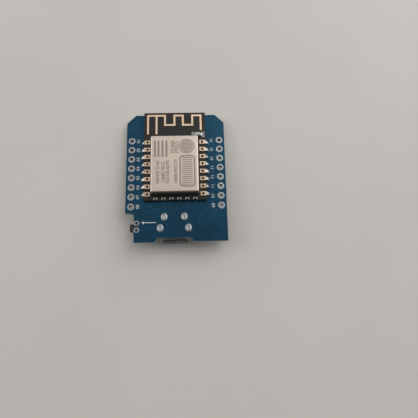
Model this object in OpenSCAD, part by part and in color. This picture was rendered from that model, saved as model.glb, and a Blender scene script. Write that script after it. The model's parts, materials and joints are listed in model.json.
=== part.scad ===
// A small radio microcontroller board: a carrier with two header rows, a shielded radio module on top,
// and a data socket, a side-press reset switch and the supply parts underneath.
// Millimetres. The origin is the centre of the header holes on the carrier's underside.
// +Y points to the antenna edge and +Z out of the face that carries the module.

/* [Carrier board] */
// Width of the carrier
board_w = 25.6; // [25.2:0.1:30]
// Length of the carrier, from the antenna edge to the socket edge
board_l = 34.2; // [33.4:0.1:38]
// Thickness of the carrier
board_t = 1.2; // [0.8:0.1:2]
// Chamfer on the two corners of the antenna edge
corner_chamfer = 2.3; // [0.5:0.1:3]
// Distance from the carrier's centre to the centre of the header holes, towards the antenna
grid_shift = 0.85; // [0.4:0.05:1.2]
// Thickness of the tinned copper on pads and rings
land_t = 0.05; // [0.03:0.01:0.08]
// Wall of the plating inside a hole
plating_t = 0.04; // [0.02:0.01:0.08]

/* [Header holes] */
// Holes in each of the two rows
header_count = 8; // [4:1:9]
// Distance between neighbouring holes in a row
header_pitch = 2.54; // [2:0.02:2.7]
// Distance between the two rows
header_span = 22.86; // [21.5:0.02:23.2]
// Finished bore of a header hole
header_hole_d = 1; // [0.8:0.05:1.2]
// Diameter of the ring round a header hole
header_ring_d = 1.76; // [1.5:0.02:1.9]
// Least width of board outside a header ring
ring_edge = 0.3; // [0.2:0.05:0.45]

/* [Notches] */
// How far the button notch reaches in from the side
button_notch_depth = 2.2; // [1.6:0.1:2.6]
// Distance from the last header hole to the button notch
button_notch_margin = 1.68; // [1.2:0.02:2]
// Radius in the inner corner of the button notch
button_notch_fillet = 0.9; // [0.4:0.1:1.4]
// Width of the socket recess at its bottom
socket_notch_w = 8.4; // [8:0.1:9.4]
// Depth of the socket recess
socket_notch_depth = 1.05; // [0.9:0.05:1.4]
// How far each side of the socket recess opens towards the edge
socket_notch_flare = 0.6; // [0.1:0.05:1]

/* [Radio module] */
// Width of the module
module_w = 16; // [15.6:0.1:17]
// Length of the module
module_l = 24; // [23:0.1:25]
// Thickness of the module's board
module_t = 0.8; // [0.6:0.1:1.2]
// Sideways offset of the module from the header centre line
module_shift = -0.18; // [-0.6:0.02:0.6]
// Distance from the carrier's antenna edge back to the module's, below zero where the module overhangs
module_inset = -0.2; // [-0.4:0.05:0.5]
// Gap under the module, filled by solder at the pads
module_gap = 0.15; // [0.1:0.01:0.25]
// Pads on each side of the module
side_pad_count = 8; // [4:1:8]
// Distance between neighbouring side pads
side_pad_pitch = 2; // [1.6:0.05:2.1]
// Distance from the module's antenna edge to the first side pad
side_pad_start = 8.4; // [7.8:0.05:8.6]
// Length of a side pad, inwards from the edge
side_pad_l = 1.6; // [1.5:0.05:1.8]
// Width of a side pad
side_pad_w = 1.05; // [0.95:0.05:1.3]
// Pads on the module's near end
end_pad_count = 6; // [2:1:6]
// Length of an end pad, inwards from the edge
end_pad_l = 0.66; // [0.6:0.02:1]
// Diameter of the half holes in the module's edges
half_hole_d = 0.7; // [0.5:0.05:0.8]
// Diameter of the through hole in each side pad
pad_via_d = 0.65; // [0.3:0.05:0.7]
// Distance from the module's edge to that hole
pad_via_inset = 0.94; // [0.85:0.02:1.1]
// Least width of pad round that hole
pad_via_rim = 0.08; // [0.05:0.01:0.12]
// Least distance from a side pad to the can
pad_can_gap = 0.2; // [0.1:0.05:0.3]
// How far the solder runs out from the module's edge
bead_reach = 0.95; // [0.4:0.05:1.1]
// Share of the module's thickness that this solder climbs
bead_climb = 0.9; // [0.3:0.05:1]

/* [Antenna] */
// Width of the antenna's copper line
trace_w = 0.5; // [0.3:0.05:0.7]
// Distance from the module's side to the outer leg
trace_margin = 1; // [0.6:0.05:1.2]
// Step between legs that a far bar joins
trace_far_step = 2.22; // [1.8:0.02:2.3]
// Step between legs that a near bar joins
trace_near_step = 2.48; // [1.8:0.02:2.6]
// Distance from the module's antenna edge to the far bars
trace_far = 0.82; // [0.6:0.02:1]
// Distance from the module's antenna edge to the near bars
trace_near = 3.52; // [2.8:0.02:3.8]
// Distance from the module's antenna edge to the ends of the two feed legs
trace_feed_end = 5.86; // [5:0.02:6.2]
// Distance from the module's antenna edge to the open end
trace_open_end = 4.84; // [4.2:0.02:5.2]

/* [Shield can] */
// Width of the can
can_w = 12; // [11.4:0.1:12.2]
// Length of the can
can_l = 15; // [14:0.1:15.4]
// Height of the can
can_h = 2.2; // [2:0.1:3]
// Sheet thickness of the can
can_wall = 0.2; // [0.1:0.05:0.3]
// Outside radius of the can's bends
can_round = 0.35; // [0.3:0.05:0.8]
// Distance from the module's antenna edge to the can
can_start = 7.5; // [7.2:0.05:7.8]

/* [Data socket] */
// Sideways offset of the socket from the header centre line
socket_shift = -0.52; // [-0.8:0.02:0.8]
// Outside width of the shell
shell_w = 7.3; // [7:0.1:7.6]
// Outside height of the shell
shell_h = 2.5; // [2.3:0.05:2.9]
// Length of the shell behind its flared mouth
shell_l = 5.9; // [5.6:0.1:6.6]
// Sheet thickness of the shell
shell_wall = 0.25; // [0.2:0.01:0.3]
// Size of the two slanted corners next to the carrier
shell_slant = 1; // [0.7:0.05:1.1]
// Radius of the two round corners away from the carrier
shell_round = 0.5; // [0.35:0.05:0.7]
// Length of the flared lips along the socket
lip_l = 0.6; // [0.4:0.05:0.8]
// How far the lips flare outwards
lip_flare = 0.4; // [0.2:0.05:0.5]
// How far the mouth stands out past the carrier's edge, below zero where it stands back
socket_overhang = -0.16; // [-0.2:0.02:0.5]
// Least distance from the solder of the rear tabs to the module
module_clear = 0.5; // [0.3:0.1:2]
// Length of a solder tab
tab_l = 0.8; // [0.7:0.05:1.2]
// Distance from the shell's rear end to the rear tabs
rear_tab_inset = 0.35; // [0.3:0.05:0.6]
// Distance from the shell's rear end to the front tabs
front_tab_inset = 3.2; // [3:0.02:3.6]
// How far the tabs stand out of the carrier's top face
tab_proud = 0.2; // [0.1:0.05:0.4]
// Room for solder on each side of a tab in its slot
tab_room = 0.15; // [0.1:0.01:0.25]
// Width of the solder rim round a tab's slot
tab_rim = 0.55; // [0.3:0.05:0.6]
// Depth of solder over a tab's tip
tab_cover = 0.12; // [0.05:0.01:0.2]
// Width of a springy finger in the shell's outer wall
finger_w = 0.7; // [0.5:0.05:0.9]
// Length of a springy finger
finger_l = 2.2; // [1.8:0.1:2.6]
// Width of the slots that free a finger
finger_slot = 0.18; // [0.12:0.01:0.25]
// Length of the window behind a finger, for the plug's hook
hook_window = 0.6; // [0.4:0.05:0.8]
// Length of the insulator's block at the rear of the shell
insulator_l = 1.9; // [1.4:0.1:2.4]
// Width of the insulator's tongue
tongue_w = 3.8; // [3.6:0.1:4.2]
// Thickness of the insulator's tongue
tongue_t = 0.65; // [0.5:0.05:0.7]
// Length of the insulator's tongue
tongue_l = 3.4; // [2.8:0.1:3.8]
// Contacts on the tongue
contact_count = 5; // [3:1:5]
// Distance between neighbouring contacts
contact_pitch = 0.65; // [0.6:0.01:0.75]
// Width of a contact
contact_w = 0.36; // [0.25:0.01:0.4]
// Thickness of a contact
contact_t = 0.15; // [0.1:0.01:0.2]
// How far the contacts stop short of the tongue's tip
contact_setback = 0.3; // [0.2:0.05:0.5]
// Length of a contact's foot on the carrier
contact_foot = 1; // [0.7:0.05:1.2]

/* [Reset switch] */
// Distance from the carrier's socket edge to the middle of the button
switch_inset = 3.95; // [3.6:0.05:4.4]
// Depth of the switch, in the direction of pressing
switch_depth = 3; // [2.8:0.1:3.6]
// Length of the switch along the carrier's side
switch_l = 4; // [3.8:0.1:4.4]
// Height of the switch below the carrier
switch_h = 2; // [1.8:0.1:2.3]
// Wall of the switch's base
switch_wall = 0.45; // [0.35:0.05:0.5]
// Sheet thickness of the switch's cover
cover_t = 0.15; // [0.1:0.01:0.2]
// Width of the plunger where it shows
plunger_w = 2; // [1.6:0.1:2.2]
// Height of the plunger where it shows
plunger_h = 0.9; // [0.7:0.05:1]
// How far the plunger stands out of the switch
plunger_out = 1.3; // [0.8:0.05:1.6]
// Radius on the plunger's outer end
plunger_round = 0.3; // [0.1:0.05:0.4]
// Length of the plunger's wide head inside the base
plunger_head_l = 0.6; // [0.5:0.05:0.8]
// How much wider the head is than the plunger on each side
plunger_shoulder = 0.3; // [0.2:0.05:0.4]
// Play round the plunger
plunger_play = 0.06; // [0.04:0.01:0.1]
// Diameter of the plunger's nose, which meets the snap dome
nose_d = 0.72; // [0.5:0.02:0.8]
// Travel of the plunger, which the snap dome's height has to allow
press_travel = 0.25; // [0.15:0.01:0.3]
// Height that the snap dome keeps when it is pressed
dome_spare = 0.15; // [0.1:0.01:0.25]
// Sheet thickness of the snap dome
dome_t = 0.08; // [0.06:0.01:0.1]
// Distance between the two locating pegs
peg_pitch = 1.75; // [1.6:0.05:2]
// Distance from the switch's front to the pegs
peg_inset = 0.7; // [0.6:0.05:0.9]
// Diameter of a peg
peg_d = 0.7; // [0.5:0.05:0.75]
// How far a peg stops below the carrier's top face
peg_short = 0.12; // [0:0.02:0.3]
// Play of a peg in its hole on each side
peg_play = 0.05; // [0.03:0.01:0.08]
// Width of the ring round a peg's hole
peg_ring_w = 0.28; // [0.15:0.01:0.3]
// Width of a switch terminal
terminal_w = 0.8; // [0.6:0.05:1]
// Thickness of a switch terminal
terminal_t = 0.12; // [0.1:0.01:0.15]
// Length of a switch terminal's foot
terminal_foot = 0.55; // [0.4:0.05:0.7]
// Width of the ears that hold the cover on the base
ear_w = 0.7; // [0.5:0.05:0.8]
// Height of those ears
ear_h = 1.1; // [0.8:0.05:1.3]

/* [Serial chip] */
// Length of the serial chip's body
serial_l = 9.9; // [9.6:0.1:11]
// Width of the serial chip's body
serial_w = 3.9; // [3.6:0.1:4.4]
// Height of the serial chip's body
serial_h = 1.4; // [1.1:0.05:1.6]
// Width over the serial chip's leads
serial_span = 6; // [5.6:0.1:6.4]
// Leads on each side of the serial chip
serial_side_leads = 8; // [4:1:8]
// Distance between the serial chip's leads
serial_pitch = 1.27; // [1:0.01:1.3]

/* [Regulator and transistors] */
// Length of the regulator's body
regulator_l = 2.9; // [2.7:0.05:3.2]
// Width of the regulator's body
regulator_w = 1.6; // [1.4:0.05:1.8]
// Width over the regulator's leads
regulator_span = 2.8; // [2.6:0.05:3]
// Length of a transistor's body
transistor_l = 2.9; // [2.7:0.05:3.2]
// Width of a transistor's body
transistor_w = 1.3; // [1.2:0.05:1.5]
// Width over a transistor's leads
transistor_span = 2.4; // [2.3:0.05:2.7]
// Height of these bodies
small_body_h = 1; // [0.8:0.05:1.2]
// Distance between neighbouring lead places on these bodies
small_pitch = 0.95; // [0.85:0.01:1]
// Thickness of every formed lead
lead_t = 0.16; // [0.12:0.01:0.2]
// Width of every formed lead
lead_w = 0.4; // [0.3:0.01:0.5]
// Length of a lead's foot
lead_foot = 0.45; // [0.3:0.01:0.5]
// Gap between a moulded body and its lands
body_standoff = 0.1; // [0.05:0.01:0.2]
// Slope of a moulded body's sides, as the inset at top and bottom
mould_draft = 0.1; // [0.05:0.01:0.15]

/* [Chip parts] */
// Length of the fuse
fuse_l = 3.2; // [3:0.1:3.6]
// Width of the fuse
fuse_w = 1.6; // [1.4:0.1:1.8]
// Height of the fuse
fuse_h = 0.7; // [0.5:0.05:1]
// Length of a bulk capacitor
bulk_l = 2; // [1.8:0.1:2.3]
// Width of a bulk capacitor
bulk_w = 1.25; // [1.1:0.05:1.4]
// Height of a bulk capacitor
bulk_h = 1.1; // [0.8:0.05:1.3]
// Length of a resistor or small capacitor
chip_l = 1.6; // [1.4:0.05:1.7]
// Width of a resistor or small capacitor
chip_w = 0.8; // [0.7:0.05:0.9]
// Height of a small capacitor
small_cap_h = 0.8; // [0.6:0.05:0.9]
// Height of a resistor
resistor_h = 0.45; // [0.35:0.05:0.55]
// Length of the metal cap on the end of a chip part
cap_end = 0.32; // [0.25:0.01:0.35]
// How far the metal ends stand out over a chip part's sides
cap_proud = 0.03; // [0.02:0.01:0.05]
// How far solder runs out from a chip part or a lead
fillet_reach = 0.3; // [0.2:0.01:0.35]
// Share of a chip part's height that solder climbs
fillet_climb = 0.6; // [0.3:0.05:0.9]
// Margin of a solder land on each side of a lead or terminal
land_margin = 0.08; // [0.04:0.01:0.1]
// Length of a crystal's package
crystal_l = 3.2; // [3:0.1:3.5]
// Width of a crystal's package
crystal_w = 2.5; // [2.3:0.1:2.7]
// Height of a crystal's ceramic base
crystal_base_h = 0.5; // [0.4:0.05:0.6]
// Height of a crystal's metal lid
crystal_lid_h = 0.25; // [0.15:0.05:0.35]
// Margin of the ceramic base round the lid
crystal_margin = 0.18; // [0.1:0.02:0.25]
// Length of a land at a crystal's corner
crystal_land_l = 1.1; // [0.9:0.05:1.3]
// Width of a land at a crystal's corner
crystal_land_w = 0.9; // [0.7:0.05:1]
// Diameter of the dimple that marks a chip's first lead
dimple_d = 0.8; // [0.5:0.05:1]
// Depth of that dimple
dimple_depth = 0.08; // [0.05:0.01:0.12]
// Distance from a chip's sides to the middle of its dimple
dimple_inset = 0.75; // [0.65:0.05:1]

/* [Underside layout] */
// Distance from the carrier's sides to the middle of the parts along them
column_inset = 5.2; // [4.8:0.1:5.6]
// Distance from the socket edge, or from the switch, to the first of those parts
column_start = 2.15; // [2:0.05:2.4]
// Distance between neighbouring parts along a side
column_step = 3.2; // [3:0.1:3.6]
// Gap between neighbouring rows of parts in the middle
part_gap = 1.5; // [1.2:0.1:2]

/* [Under the can] */
// Gap between the parts under the can, and to its wall
can_room = 0.3; // [0.2:0.05:0.4]
// Distance between neighbouring smallest chip parts
mini_step = 1.6; // [1.2:0.1:1.8]
// Side of the radio chip
radio_side = 5; // [4:0.1:5.4]
// Height of the radio chip
radio_h = 0.85; // [0.7:0.05:1]
// Length of the memory chip's body
flash_l = 4.9; // [4.6:0.1:5.2]
// Width of the memory chip's body
flash_w = 3.9; // [3.6:0.1:4.1]
// Height of the memory chip's body
flash_h = 1.35; // [1.1:0.05:1.4]
// Width over the memory chip's leads
flash_span = 6; // [5.8:0.1:6.4]
// Length of the smallest chip parts
mini_l = 1; // [0.9:0.05:1.1]
// Width and height of the smallest chip parts
mini_w = 0.5; // [0.45:0.05:0.55]
// Metal end of the smallest chip parts
mini_end = 0.22; // [0.15:0.01:0.25]

/* [Status light] */
// Distance from the module's side to the middle of the status light
led_x = 1.9; // [1.6:0.01:2.6]
// Distance from the module's antenna edge to the status light
led_inset = 6.34; // [6.1:0.02:6.6]
// Thickness of the status light's base
led_base_h = 0.25; // [0.2:0.05:0.35]
// Height of the status light's lens
led_lens_h = 0.4; // [0.3:0.05:0.6]

/* [Hidden] */
$fn = 48;
// Cutters run this far past the faces that they open
over = 0.5;
// Round corners of a bent sheet are drawn with this many steps
bend_steps = 6;

// Edges of the carrier
edge_antenna = board_l / 2 - grid_shift;
edge_socket = -board_l / 2 - grid_shift;
row_x = min(header_span / 2, board_w / 2 - header_ring_d / 2 - ring_edge);
row_y = (header_count - 1) * header_pitch / 2;
header_spots = [for (side = [-1, 1], i = [0 : header_count - 1])
    [side * row_x, row_y - i * header_pitch]];
notch_x = -board_w / 2 + button_notch_depth;
notch_y = -row_y - button_notch_margin;

// Places on the radio module
module_far = edge_antenna - module_inset;
module_near = module_far - module_l;
module_z = board_t + module_gap;
module_top = module_z + module_t;
side_pad_y = [for (i = [0 : side_pad_count - 1]) module_far - side_pad_start - i * side_pad_pitch];
pad_l = min(side_pad_l, (module_w - can_w) / 2 - pad_can_gap);
pad_room = pad_l - half_hole_d / 2 - plating_t;
via_d = min(pad_via_d, pad_room - 2 * plating_t - 2 * pad_via_rim);
via_inset = min(pad_via_inset, pad_l - pad_room / 2);
end_pad_x = [for (step = spaced(end_pad_count, side_pad_pitch)) module_shift + step];
can_y = module_far - can_start - can_l / 2;

// Places on the socket: its rear end, where the mouth starts to flare, and its front
pool_reach = tab_l / 2 + tab_room + tab_rim;
rear_limit = module_near - module_clear - pool_reach + rear_tab_inset;
shell_rear = min(edge_socket - socket_overhang + lip_l + shell_l, rear_limit);
mouth_y = shell_rear - shell_l;
socket_front = mouth_y - lip_l;
flat_half = shell_w / 2 - shell_slant;
tab_places = [for (side = [-1, 1])
    each [
        [socket_shift + side * (flat_half - shell_wall / 2), shell_rear - rear_tab_inset, -shell_wall],
        [socket_shift + side * (shell_w - shell_wall) / 2, shell_rear - front_tab_inset, -2 * shell_slant]
    ]];
tongue_z = -shell_h / 2 - tongue_t / 2 - contact_t;
contact_x = [for (step = spaced(contact_count, contact_pitch)) socket_shift + step];

// Places on the switch
switch_y = edge_socket + switch_inset;
plunger_z = -switch_h / 2;
dome_rise = press_travel + dome_spare;
plunger_tip = notch_x - plunger_out;
head_front = notch_x + cover_t;
head_back = head_front + plunger_head_l;
dome_y_half = switch_l / 2 - switch_wall - plunger_play;
dome_z_half = plunger_h / 2 + plunger_shoulder / 2;
dome_back = notch_x + switch_depth - switch_wall;
dome_front = dome_back - dome_rise;
dome_r = (dome_y_half * dome_y_half + dome_rise * dome_rise) / (2 * dome_rise);
peg_spots = [for (side = [-1, 1]) [notch_x + peg_inset, switch_y + side * peg_pitch / 2]];
peg_hole_d = peg_d + 2 * peg_play;

function spaced(count, pitch) = [for (i = [0 : count - 1]) (i - (count - 1) / 2) * pitch];

// Places of the parts on the underside: x, y and turn
serial_y = shell_rear + tab_room + contact_foot + part_gap + serial_span / 2;
clock_y = serial_y + serial_span / 2 + part_gap + crystal_w / 2;
pull_up_y = clock_y + crystal_w / 2 + part_gap + chip_l / 2;
column_x = board_w / 2 - column_inset;
right_y = [for (i = [0 : 5]) edge_socket + column_start + i * column_step];
left_y = [for (i = [0 : 5]) switch_y + switch_l / 2 + column_start + i * column_step];
serial_spot = [0, serial_y, 90];
crystal_spot = [0, clock_y, 0];
regulator_spot = [column_x, right_y[1], 0];
fuse_spot = [column_x, right_y[3], 90];
transistor_spots = [for (i = [1, 2]) [-column_x, left_y[i], 0]];
bulk_spots = [for (i = [0, 2]) [column_x, right_y[i], 0]];
load_cap_x = crystal_l / 2 + part_gap + chip_w / 2;
small_cap_spots = [
    for (side = [-1, 1]) [side * load_cap_x, clock_y, 90],
    for (i = [4, 5]) [column_x, right_y[i], 0]];
pull_up_spots = [for (x = spaced(5, chip_w + part_gap)) [x, pull_up_y, 90]];
divider_spots = [for (i = [0, 3, 4, 5]) [-column_x, left_y[i], 0]];
resistor_spots = concat(pull_up_spots, divider_spots);

// Places under the can, from the can's centre
can_free = [can_w / 2 - can_wall - can_room, can_l / 2 - can_wall - can_room];
module_crystal_place = [crystal_w / 2 - can_free[0], can_free[1] - crystal_l / 2];
radio_place = [crystal_w - can_free[0] + can_room + radio_side / 2, can_free[1] - radio_side / 2];
flash_place = [0, flash_l / 2 - can_free[1]];
mini_x = can_free[0] - mini_l / 2;
left_mini_y = can_free[1] - crystal_l - can_room - mini_w / 2;
right_mini_y = can_free[1] - mini_w / 2;
mini_places = concat([for (i = [0 : 4]) [-mini_x, left_mini_y - i * mini_step]],
    [for (i = [0 : 3]) [mini_x, right_mini_y - i * mini_step]]);

// The solder's surface from a metal face, rising to the height rise, out to its toe
function fillet_curve(reach, rise, toe) =
    [for (i = [0 : 5]) let (t = i / 5) [reach * t, toe + (rise - toe) * (1 - t) * (1 - t)]];
// Points of a round corner about a centre
function bend(centre, r, from, to) =
    [for (i = [0 : bend_steps])
        let (a = from + (to - from) * i / bend_steps) centre + r * [cos(a), sin(a)]];
// Outline of the shell, or of a smaller one inside it, with the carrier at its upper side
function shell_outline(inset) =
    let (half = shell_w / 2 - inset,
         slant = shell_slant - inset * (2 - sqrt(2)),
         r = shell_round - inset,
         low = -shell_h + inset)
    concat([[half - slant, -inset], [half, -inset - slant]],
        bend([half - r, low + r], r, 0, -90),
        bend([-half + r, low + r], r, -90, -180),
        [[-half, -inset - slant], [-half + slant, -inset]]);

module drill(spot, d) {
    translate([spot[0], spot[1], -over]) cylinder(d = d, h = board_t + 2 * over);
}

// A part on the underside, drawn as if it stood on a face that looks up
module underside(spot) {
    translate([spot[0], spot[1], 0]) rotate(spot[2]) mirror([0, 0, 1]) children();
}

// A part inside the can, standing on the module
module under_can(place, turn = 0) {
    translate([module_shift + place[0], can_y + place[1], module_top]) rotate(turn) children();
}

// An extrusion along X of a profile drawn with y across and z up
module along_x(length) {
    rotate([90, 0, 90]) linear_extrude(length, center = true) children();
}

// An extrusion along Y of a profile drawn with x across and z up
module along_y(length) {
    rotate([90, 0, 0]) linear_extrude(length, center = true) children();
}

// Solder under a metal end and up its face, which stands at x = 0 and looks to +X
module solder_joint(width, under, film, reach, rise) {
    along_y(width) polygon(concat([[-under, 0], [-under, film], [0, film]],
        fillet_curve(reach, rise, film / 2), [[reach, 0]]));
}

// A moulded body with sloping sides above and below a band where the leads come out
module moulded_body(l, w, h, base) {
    band = lead_t / 2;
    intersection() {
        along_x(l + over) polygon(mould_profile(w, h, base, band));
        along_y(w + over) polygon(mould_profile(l, h, base, band));
    }
}
function mould_profile(size, h, base, band) =
    let (half = size / 2, mid = base + h / 2)
    [[-half + mould_draft, base], [half - mould_draft, base], [half, mid - band], [half, mid + band],
     [half - mould_draft, base + h], [-half + mould_draft, base + h],
     [-half, mid + band], [-half, mid - band]];

// One formed lead from a body's side at x = 0, down to a foot that ends at x = reach
module formed_lead(reach, mid, foot_z) {
    knee = (reach - lead_foot) / 2;
    shift = lead_t / 2;
    along_y(lead_w) polygon([
        [0, mid + shift], [knee + shift, mid + shift], [reach - lead_foot + shift, foot_z + lead_t],
        [reach, foot_z + lead_t], [reach, foot_z], [reach - lead_foot - shift, foot_z],
        [knee - shift, mid - shift], [0, mid - shift]]);
}

// Leads on the two sides of a body, at the given places along it
module lead_rows(right, left, w, span, h, base, foot_z) {
    mid = base + h / 2;
    reach = (span - w) / 2;
    for (y = right) translate([w / 2, y, 0]) formed_lead(reach, mid, foot_z);
    for (y = left) translate([-w / 2, y, 0]) mirror([1, 0, 0]) formed_lead(reach, mid, foot_z);
}

// Solder under the feet of those leads
module lead_solder(right, left, span) {
    for (y = right) translate([span / 2, y, 0]) lead_joint();
    for (y = left) translate([-span / 2, y, 0]) mirror([1, 0, 0]) lead_joint();
}
module lead_joint() {
    solder_joint(lead_w + 2 * land_margin, lead_foot, land_t, fillet_reach, land_t + lead_t);
}

// Body, metal ends and solder of a chip part that lies along X
module chip_body(l, w, h, end, base) {
    translate([-l / 2 + end, -w / 2, base + cap_proud]) cube([l - 2 * end, w, h]);
}
module chip_terminals(l, w, h, end, base) {
    for (side = [0, 1]) mirror([side, 0, 0])
        translate([l / 2 - end, -w / 2 - cap_proud, base])
            cube([end, w + 2 * cap_proud, h + 2 * cap_proud]);
}
module chip_solder(l, w, h, end) {
    for (side = [0, 1]) mirror([side, 0, 0]) translate([l / 2, 0, 0])
        solder_joint(w + 2 * cap_proud, end, land_t, fillet_reach, land_t + h * fillet_climb);
}

serial_rows = spaced(serial_side_leads, serial_pitch);
regulator_rows = spaced(3, small_pitch);
regulator_pair = spaced(2, 2 * small_pitch);
transistor_pair = spaced(2, 2 * small_pitch);
transistor_single = [0];
flash_rows = spaced(4, serial_pitch);
body_base = land_t + body_standoff;

// Carrier and plating

module button_notch() {
    r = button_notch_fillet;
    rise = notch_y - edge_socket + over;
    reach = button_notch_depth + over;
    translate([-board_w / 2 - over, edge_socket - over]) square([reach, rise - r]);
    translate([-board_w / 2 - over, edge_socket - over]) square([reach - r, rise]);
    translate([notch_x - r, notch_y - r]) circle(r);
}

module socket_notch() {
    inner = socket_notch_w / 2;
    outer = inner + socket_notch_flare;
    deep = edge_socket + socket_notch_depth;
    translate([socket_shift, 0]) polygon([[-inner, deep], [inner, deep], [outer, edge_socket],
        [outer, edge_socket - over], [-outer, edge_socket - over], [-outer, edge_socket]]);
}

module board_outline() {
    half = board_w / 2;
    difference() {
        polygon([[-half, edge_socket], [half, edge_socket], [half, edge_antenna - corner_chamfer],
            [half - corner_chamfer, edge_antenna], [-half + corner_chamfer, edge_antenna],
            [-half, edge_antenna - corner_chamfer]]);
        button_notch();
        socket_notch();
    }
}

// A slot with round ends along Y that clears a tab, grown outwards by margin
module tab_slot(margin, sides = 48) {
    straight = tab_l - shell_wall;
    d = shell_wall + 2 * tab_room + 2 * margin;
    for (end = [-1, 1]) translate([0, end * straight / 2]) circle(d = d, $fn = sides);
    square([d, straight], center = true);
}

module carrier_board() {
    color("#1d5276") difference() {
        linear_extrude(board_t) board_outline();
        for (spot = header_spots) drill(spot, header_hole_d);
        for (spot = peg_spots) drill(spot, peg_hole_d + 2 * plating_t);
        for (tab = tab_places)
            translate([tab[0], tab[1], -over]) linear_extrude(board_t + 2 * over) tab_slot(0);
    }
}

// A ring round each header hole on both faces. The holes in the carrier are drawn at their plated size.
module header_plating() {
    color("#d8d8d4") for (spot = header_spots, z = [-land_t, board_t])
        translate([spot[0], spot[1], z]) difference() {
            cylinder(d = header_ring_d, h = land_t);
            translate([0, 0, -over]) cylinder(d = header_hole_d, h = 2 * over);
        }
}

module switch_peg_rings() {
    color("#d8d8d4") for (spot = peg_spots)
        translate([0, 0, land_t]) peg_ring(spot);
}

// Ring on the top face only, because the switch's base lies flat against the underside
module peg_ring(spot) {
    translate([spot[0], spot[1], -land_t]) difference() {
        union() {
            cylinder(d = peg_hole_d + 2 * plating_t, h = board_t + land_t);
            translate([0, 0, board_t]) cylinder(d = peg_hole_d + 2 * peg_ring_w, h = land_t);
        }
        translate([0, 0, -over]) cylinder(d = peg_hole_d, h = board_t + 2 * over);
    }
}

// Radio module

// Brings a shape drawn at an edge that looks to +X to each side pad, and to each end pad
module at_side_pads() {
    for (y = side_pad_y) {
        translate([module_shift + module_w / 2, y, module_z]) children();
        translate([module_shift - module_w / 2, y, module_z]) mirror([1, 0, 0]) children();
    }
}
module at_end_pads() {
    for (x = end_pad_x) translate([x, module_near, module_z]) rotate(-90) children();
}

module edge_hole(d) {
    translate([0, 0, -over]) cylinder(d = d, h = module_t + 2 * over);
}

module module_board() {
    color("#1b1c1f") difference() {
        translate([module_shift - module_w / 2, module_near, module_z])
            cube([module_w, module_l, module_t]);
        at_side_pads() edge_hole(half_hole_d + 2 * plating_t);
        at_side_pads() translate([-via_inset, 0, 0]) edge_hole(via_d + 2 * plating_t);
        at_end_pads() edge_hole(half_hole_d + 2 * plating_t);
    }
}

// Pads on both faces, joined by the plating of the half hole in the edge
module castellation(l, w) {
    wall_l = module_t + 2 * land_t;
    for (z = [-land_t, module_t]) translate([-l, -w / 2, z]) cube([l, w, land_t]);
    intersection() {
        translate([0, 0, -land_t]) cylinder(d = half_hole_d + 2 * plating_t, h = wall_l);
        translate([-l, -w / 2, -land_t]) cube([l, w, wall_l]);
    }
}

module side_castellation() {
    difference() {
        union() {
            castellation(pad_l, side_pad_w);
            translate([-via_inset, 0, -land_t])
                cylinder(d = via_d + 2 * plating_t, h = module_t + 2 * land_t);
        }
        edge_hole(half_hole_d);
        translate([-via_inset, 0, 0]) edge_hole(via_d);
    }
}

module module_castellations() {
    color("#d9b55a") {
        at_side_pads() side_castellation();
        at_end_pads() difference() {
            castellation(end_pad_l, side_pad_w);
            edge_hole(half_hole_d);
        }
    }
}

// Solder film under a side pad, a bead outside it and a fill in its half hole
module module_joint() {
    film = module_gap - land_t;
    rise = module_gap + module_t * bead_climb;
    solder_joint(side_pad_w, pad_l, film, bead_reach, rise);
    intersection() {
        cylinder(d = half_hole_d, h = rise);
        translate([-half_hole_d, -half_hole_d, 0]) cube([half_hole_d, 2 * half_hole_d, rise]);
    }
}

module module_solder() {
    color("#dcdcda") {
        at_side_pads() translate([0, 0, -module_gap]) module_joint();
        at_led() chip_solder(chip_l, chip_w, led_base_h, cap_end);
    }
}

// A straight run of copper from one point to another, both along one axis
module run(a, b) {
    low = [min(a[0], b[0]), min(a[1], b[1])];
    size = [abs(a[0] - b[0]), abs(a[1] - b[1])];
    translate(low - [trace_w, trace_w] / 2) square(size + [trace_w, trace_w]);
}

module antenna_trace() {
    x0 = module_shift - module_w / 2 + trace_margin;
    x1 = x0 + trace_far_step;
    x2 = x1 + trace_far_step;
    x3 = x2 + trace_near_step;
    x4 = x3 + trace_far_step;
    x5 = x4 + trace_near_step;
    x6 = x5 + trace_far_step;
    far = module_far - trace_far;
    near = module_far - trace_near;
    color("#c9a24b") translate([0, 0, module_top]) linear_extrude(land_t) {
        for (x = [x0, x1]) run([x, module_far - trace_feed_end], [x, far]);
        run([x0, far], [x2, far]);
        for (x = [x2, x3, x4, x5]) run([x, near], [x, far]);
        run([x2, near], [x3, near]);
        run([x3, far], [x4, far]);
        run([x4, near], [x5, near]);
        run([x5, far], [x6, far]);
        run([x6, far], [x6, module_far - trace_open_end]);
    }
}

// A box with round upright and upper edges
module drawn_block(w, l, h, r) {
    hull() for (sx = [-1, 1], sy = [-1, 1]) translate([sx * (w / 2 - r), sy * (l / 2 - r), 0]) {
        cylinder(r = r, h = h - r, $fn = 32);
        translate([0, 0, h - r]) sphere(r = r, $fn = 32);
    }
}

module shield_can() {
    color("#b9b1a2") translate([module_shift, can_y, module_top]) difference() {
        drawn_block(can_w, can_l, can_h, can_round);
        translate([0, 0, -over])
            drawn_block(can_w - 2 * can_wall, can_l - 2 * can_wall, can_h - can_wall + over,
                        can_round - can_wall);
    }
}

module radio_chip() {
    mark = radio_side / 2 - dimple_inset;
    color("#26272a") under_can(radio_place) difference() {
        translate([-radio_side / 2, -radio_side / 2, 0]) cube([radio_side, radio_side, radio_h]);
        translate([-mark, mark, radio_h - dimple_depth]) cylinder(d = dimple_d, h = over);
    }
}

module flash_chip() {
    color("#26272a") under_can(flash_place) moulded_body(flash_w, flash_l, flash_h, body_standoff);
}

module flash_leads() {
    color("#c8c8c4") under_can(flash_place)
        lead_rows(flash_rows, flash_rows, flash_w, flash_span, flash_h, body_standoff, 0);
}

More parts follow.
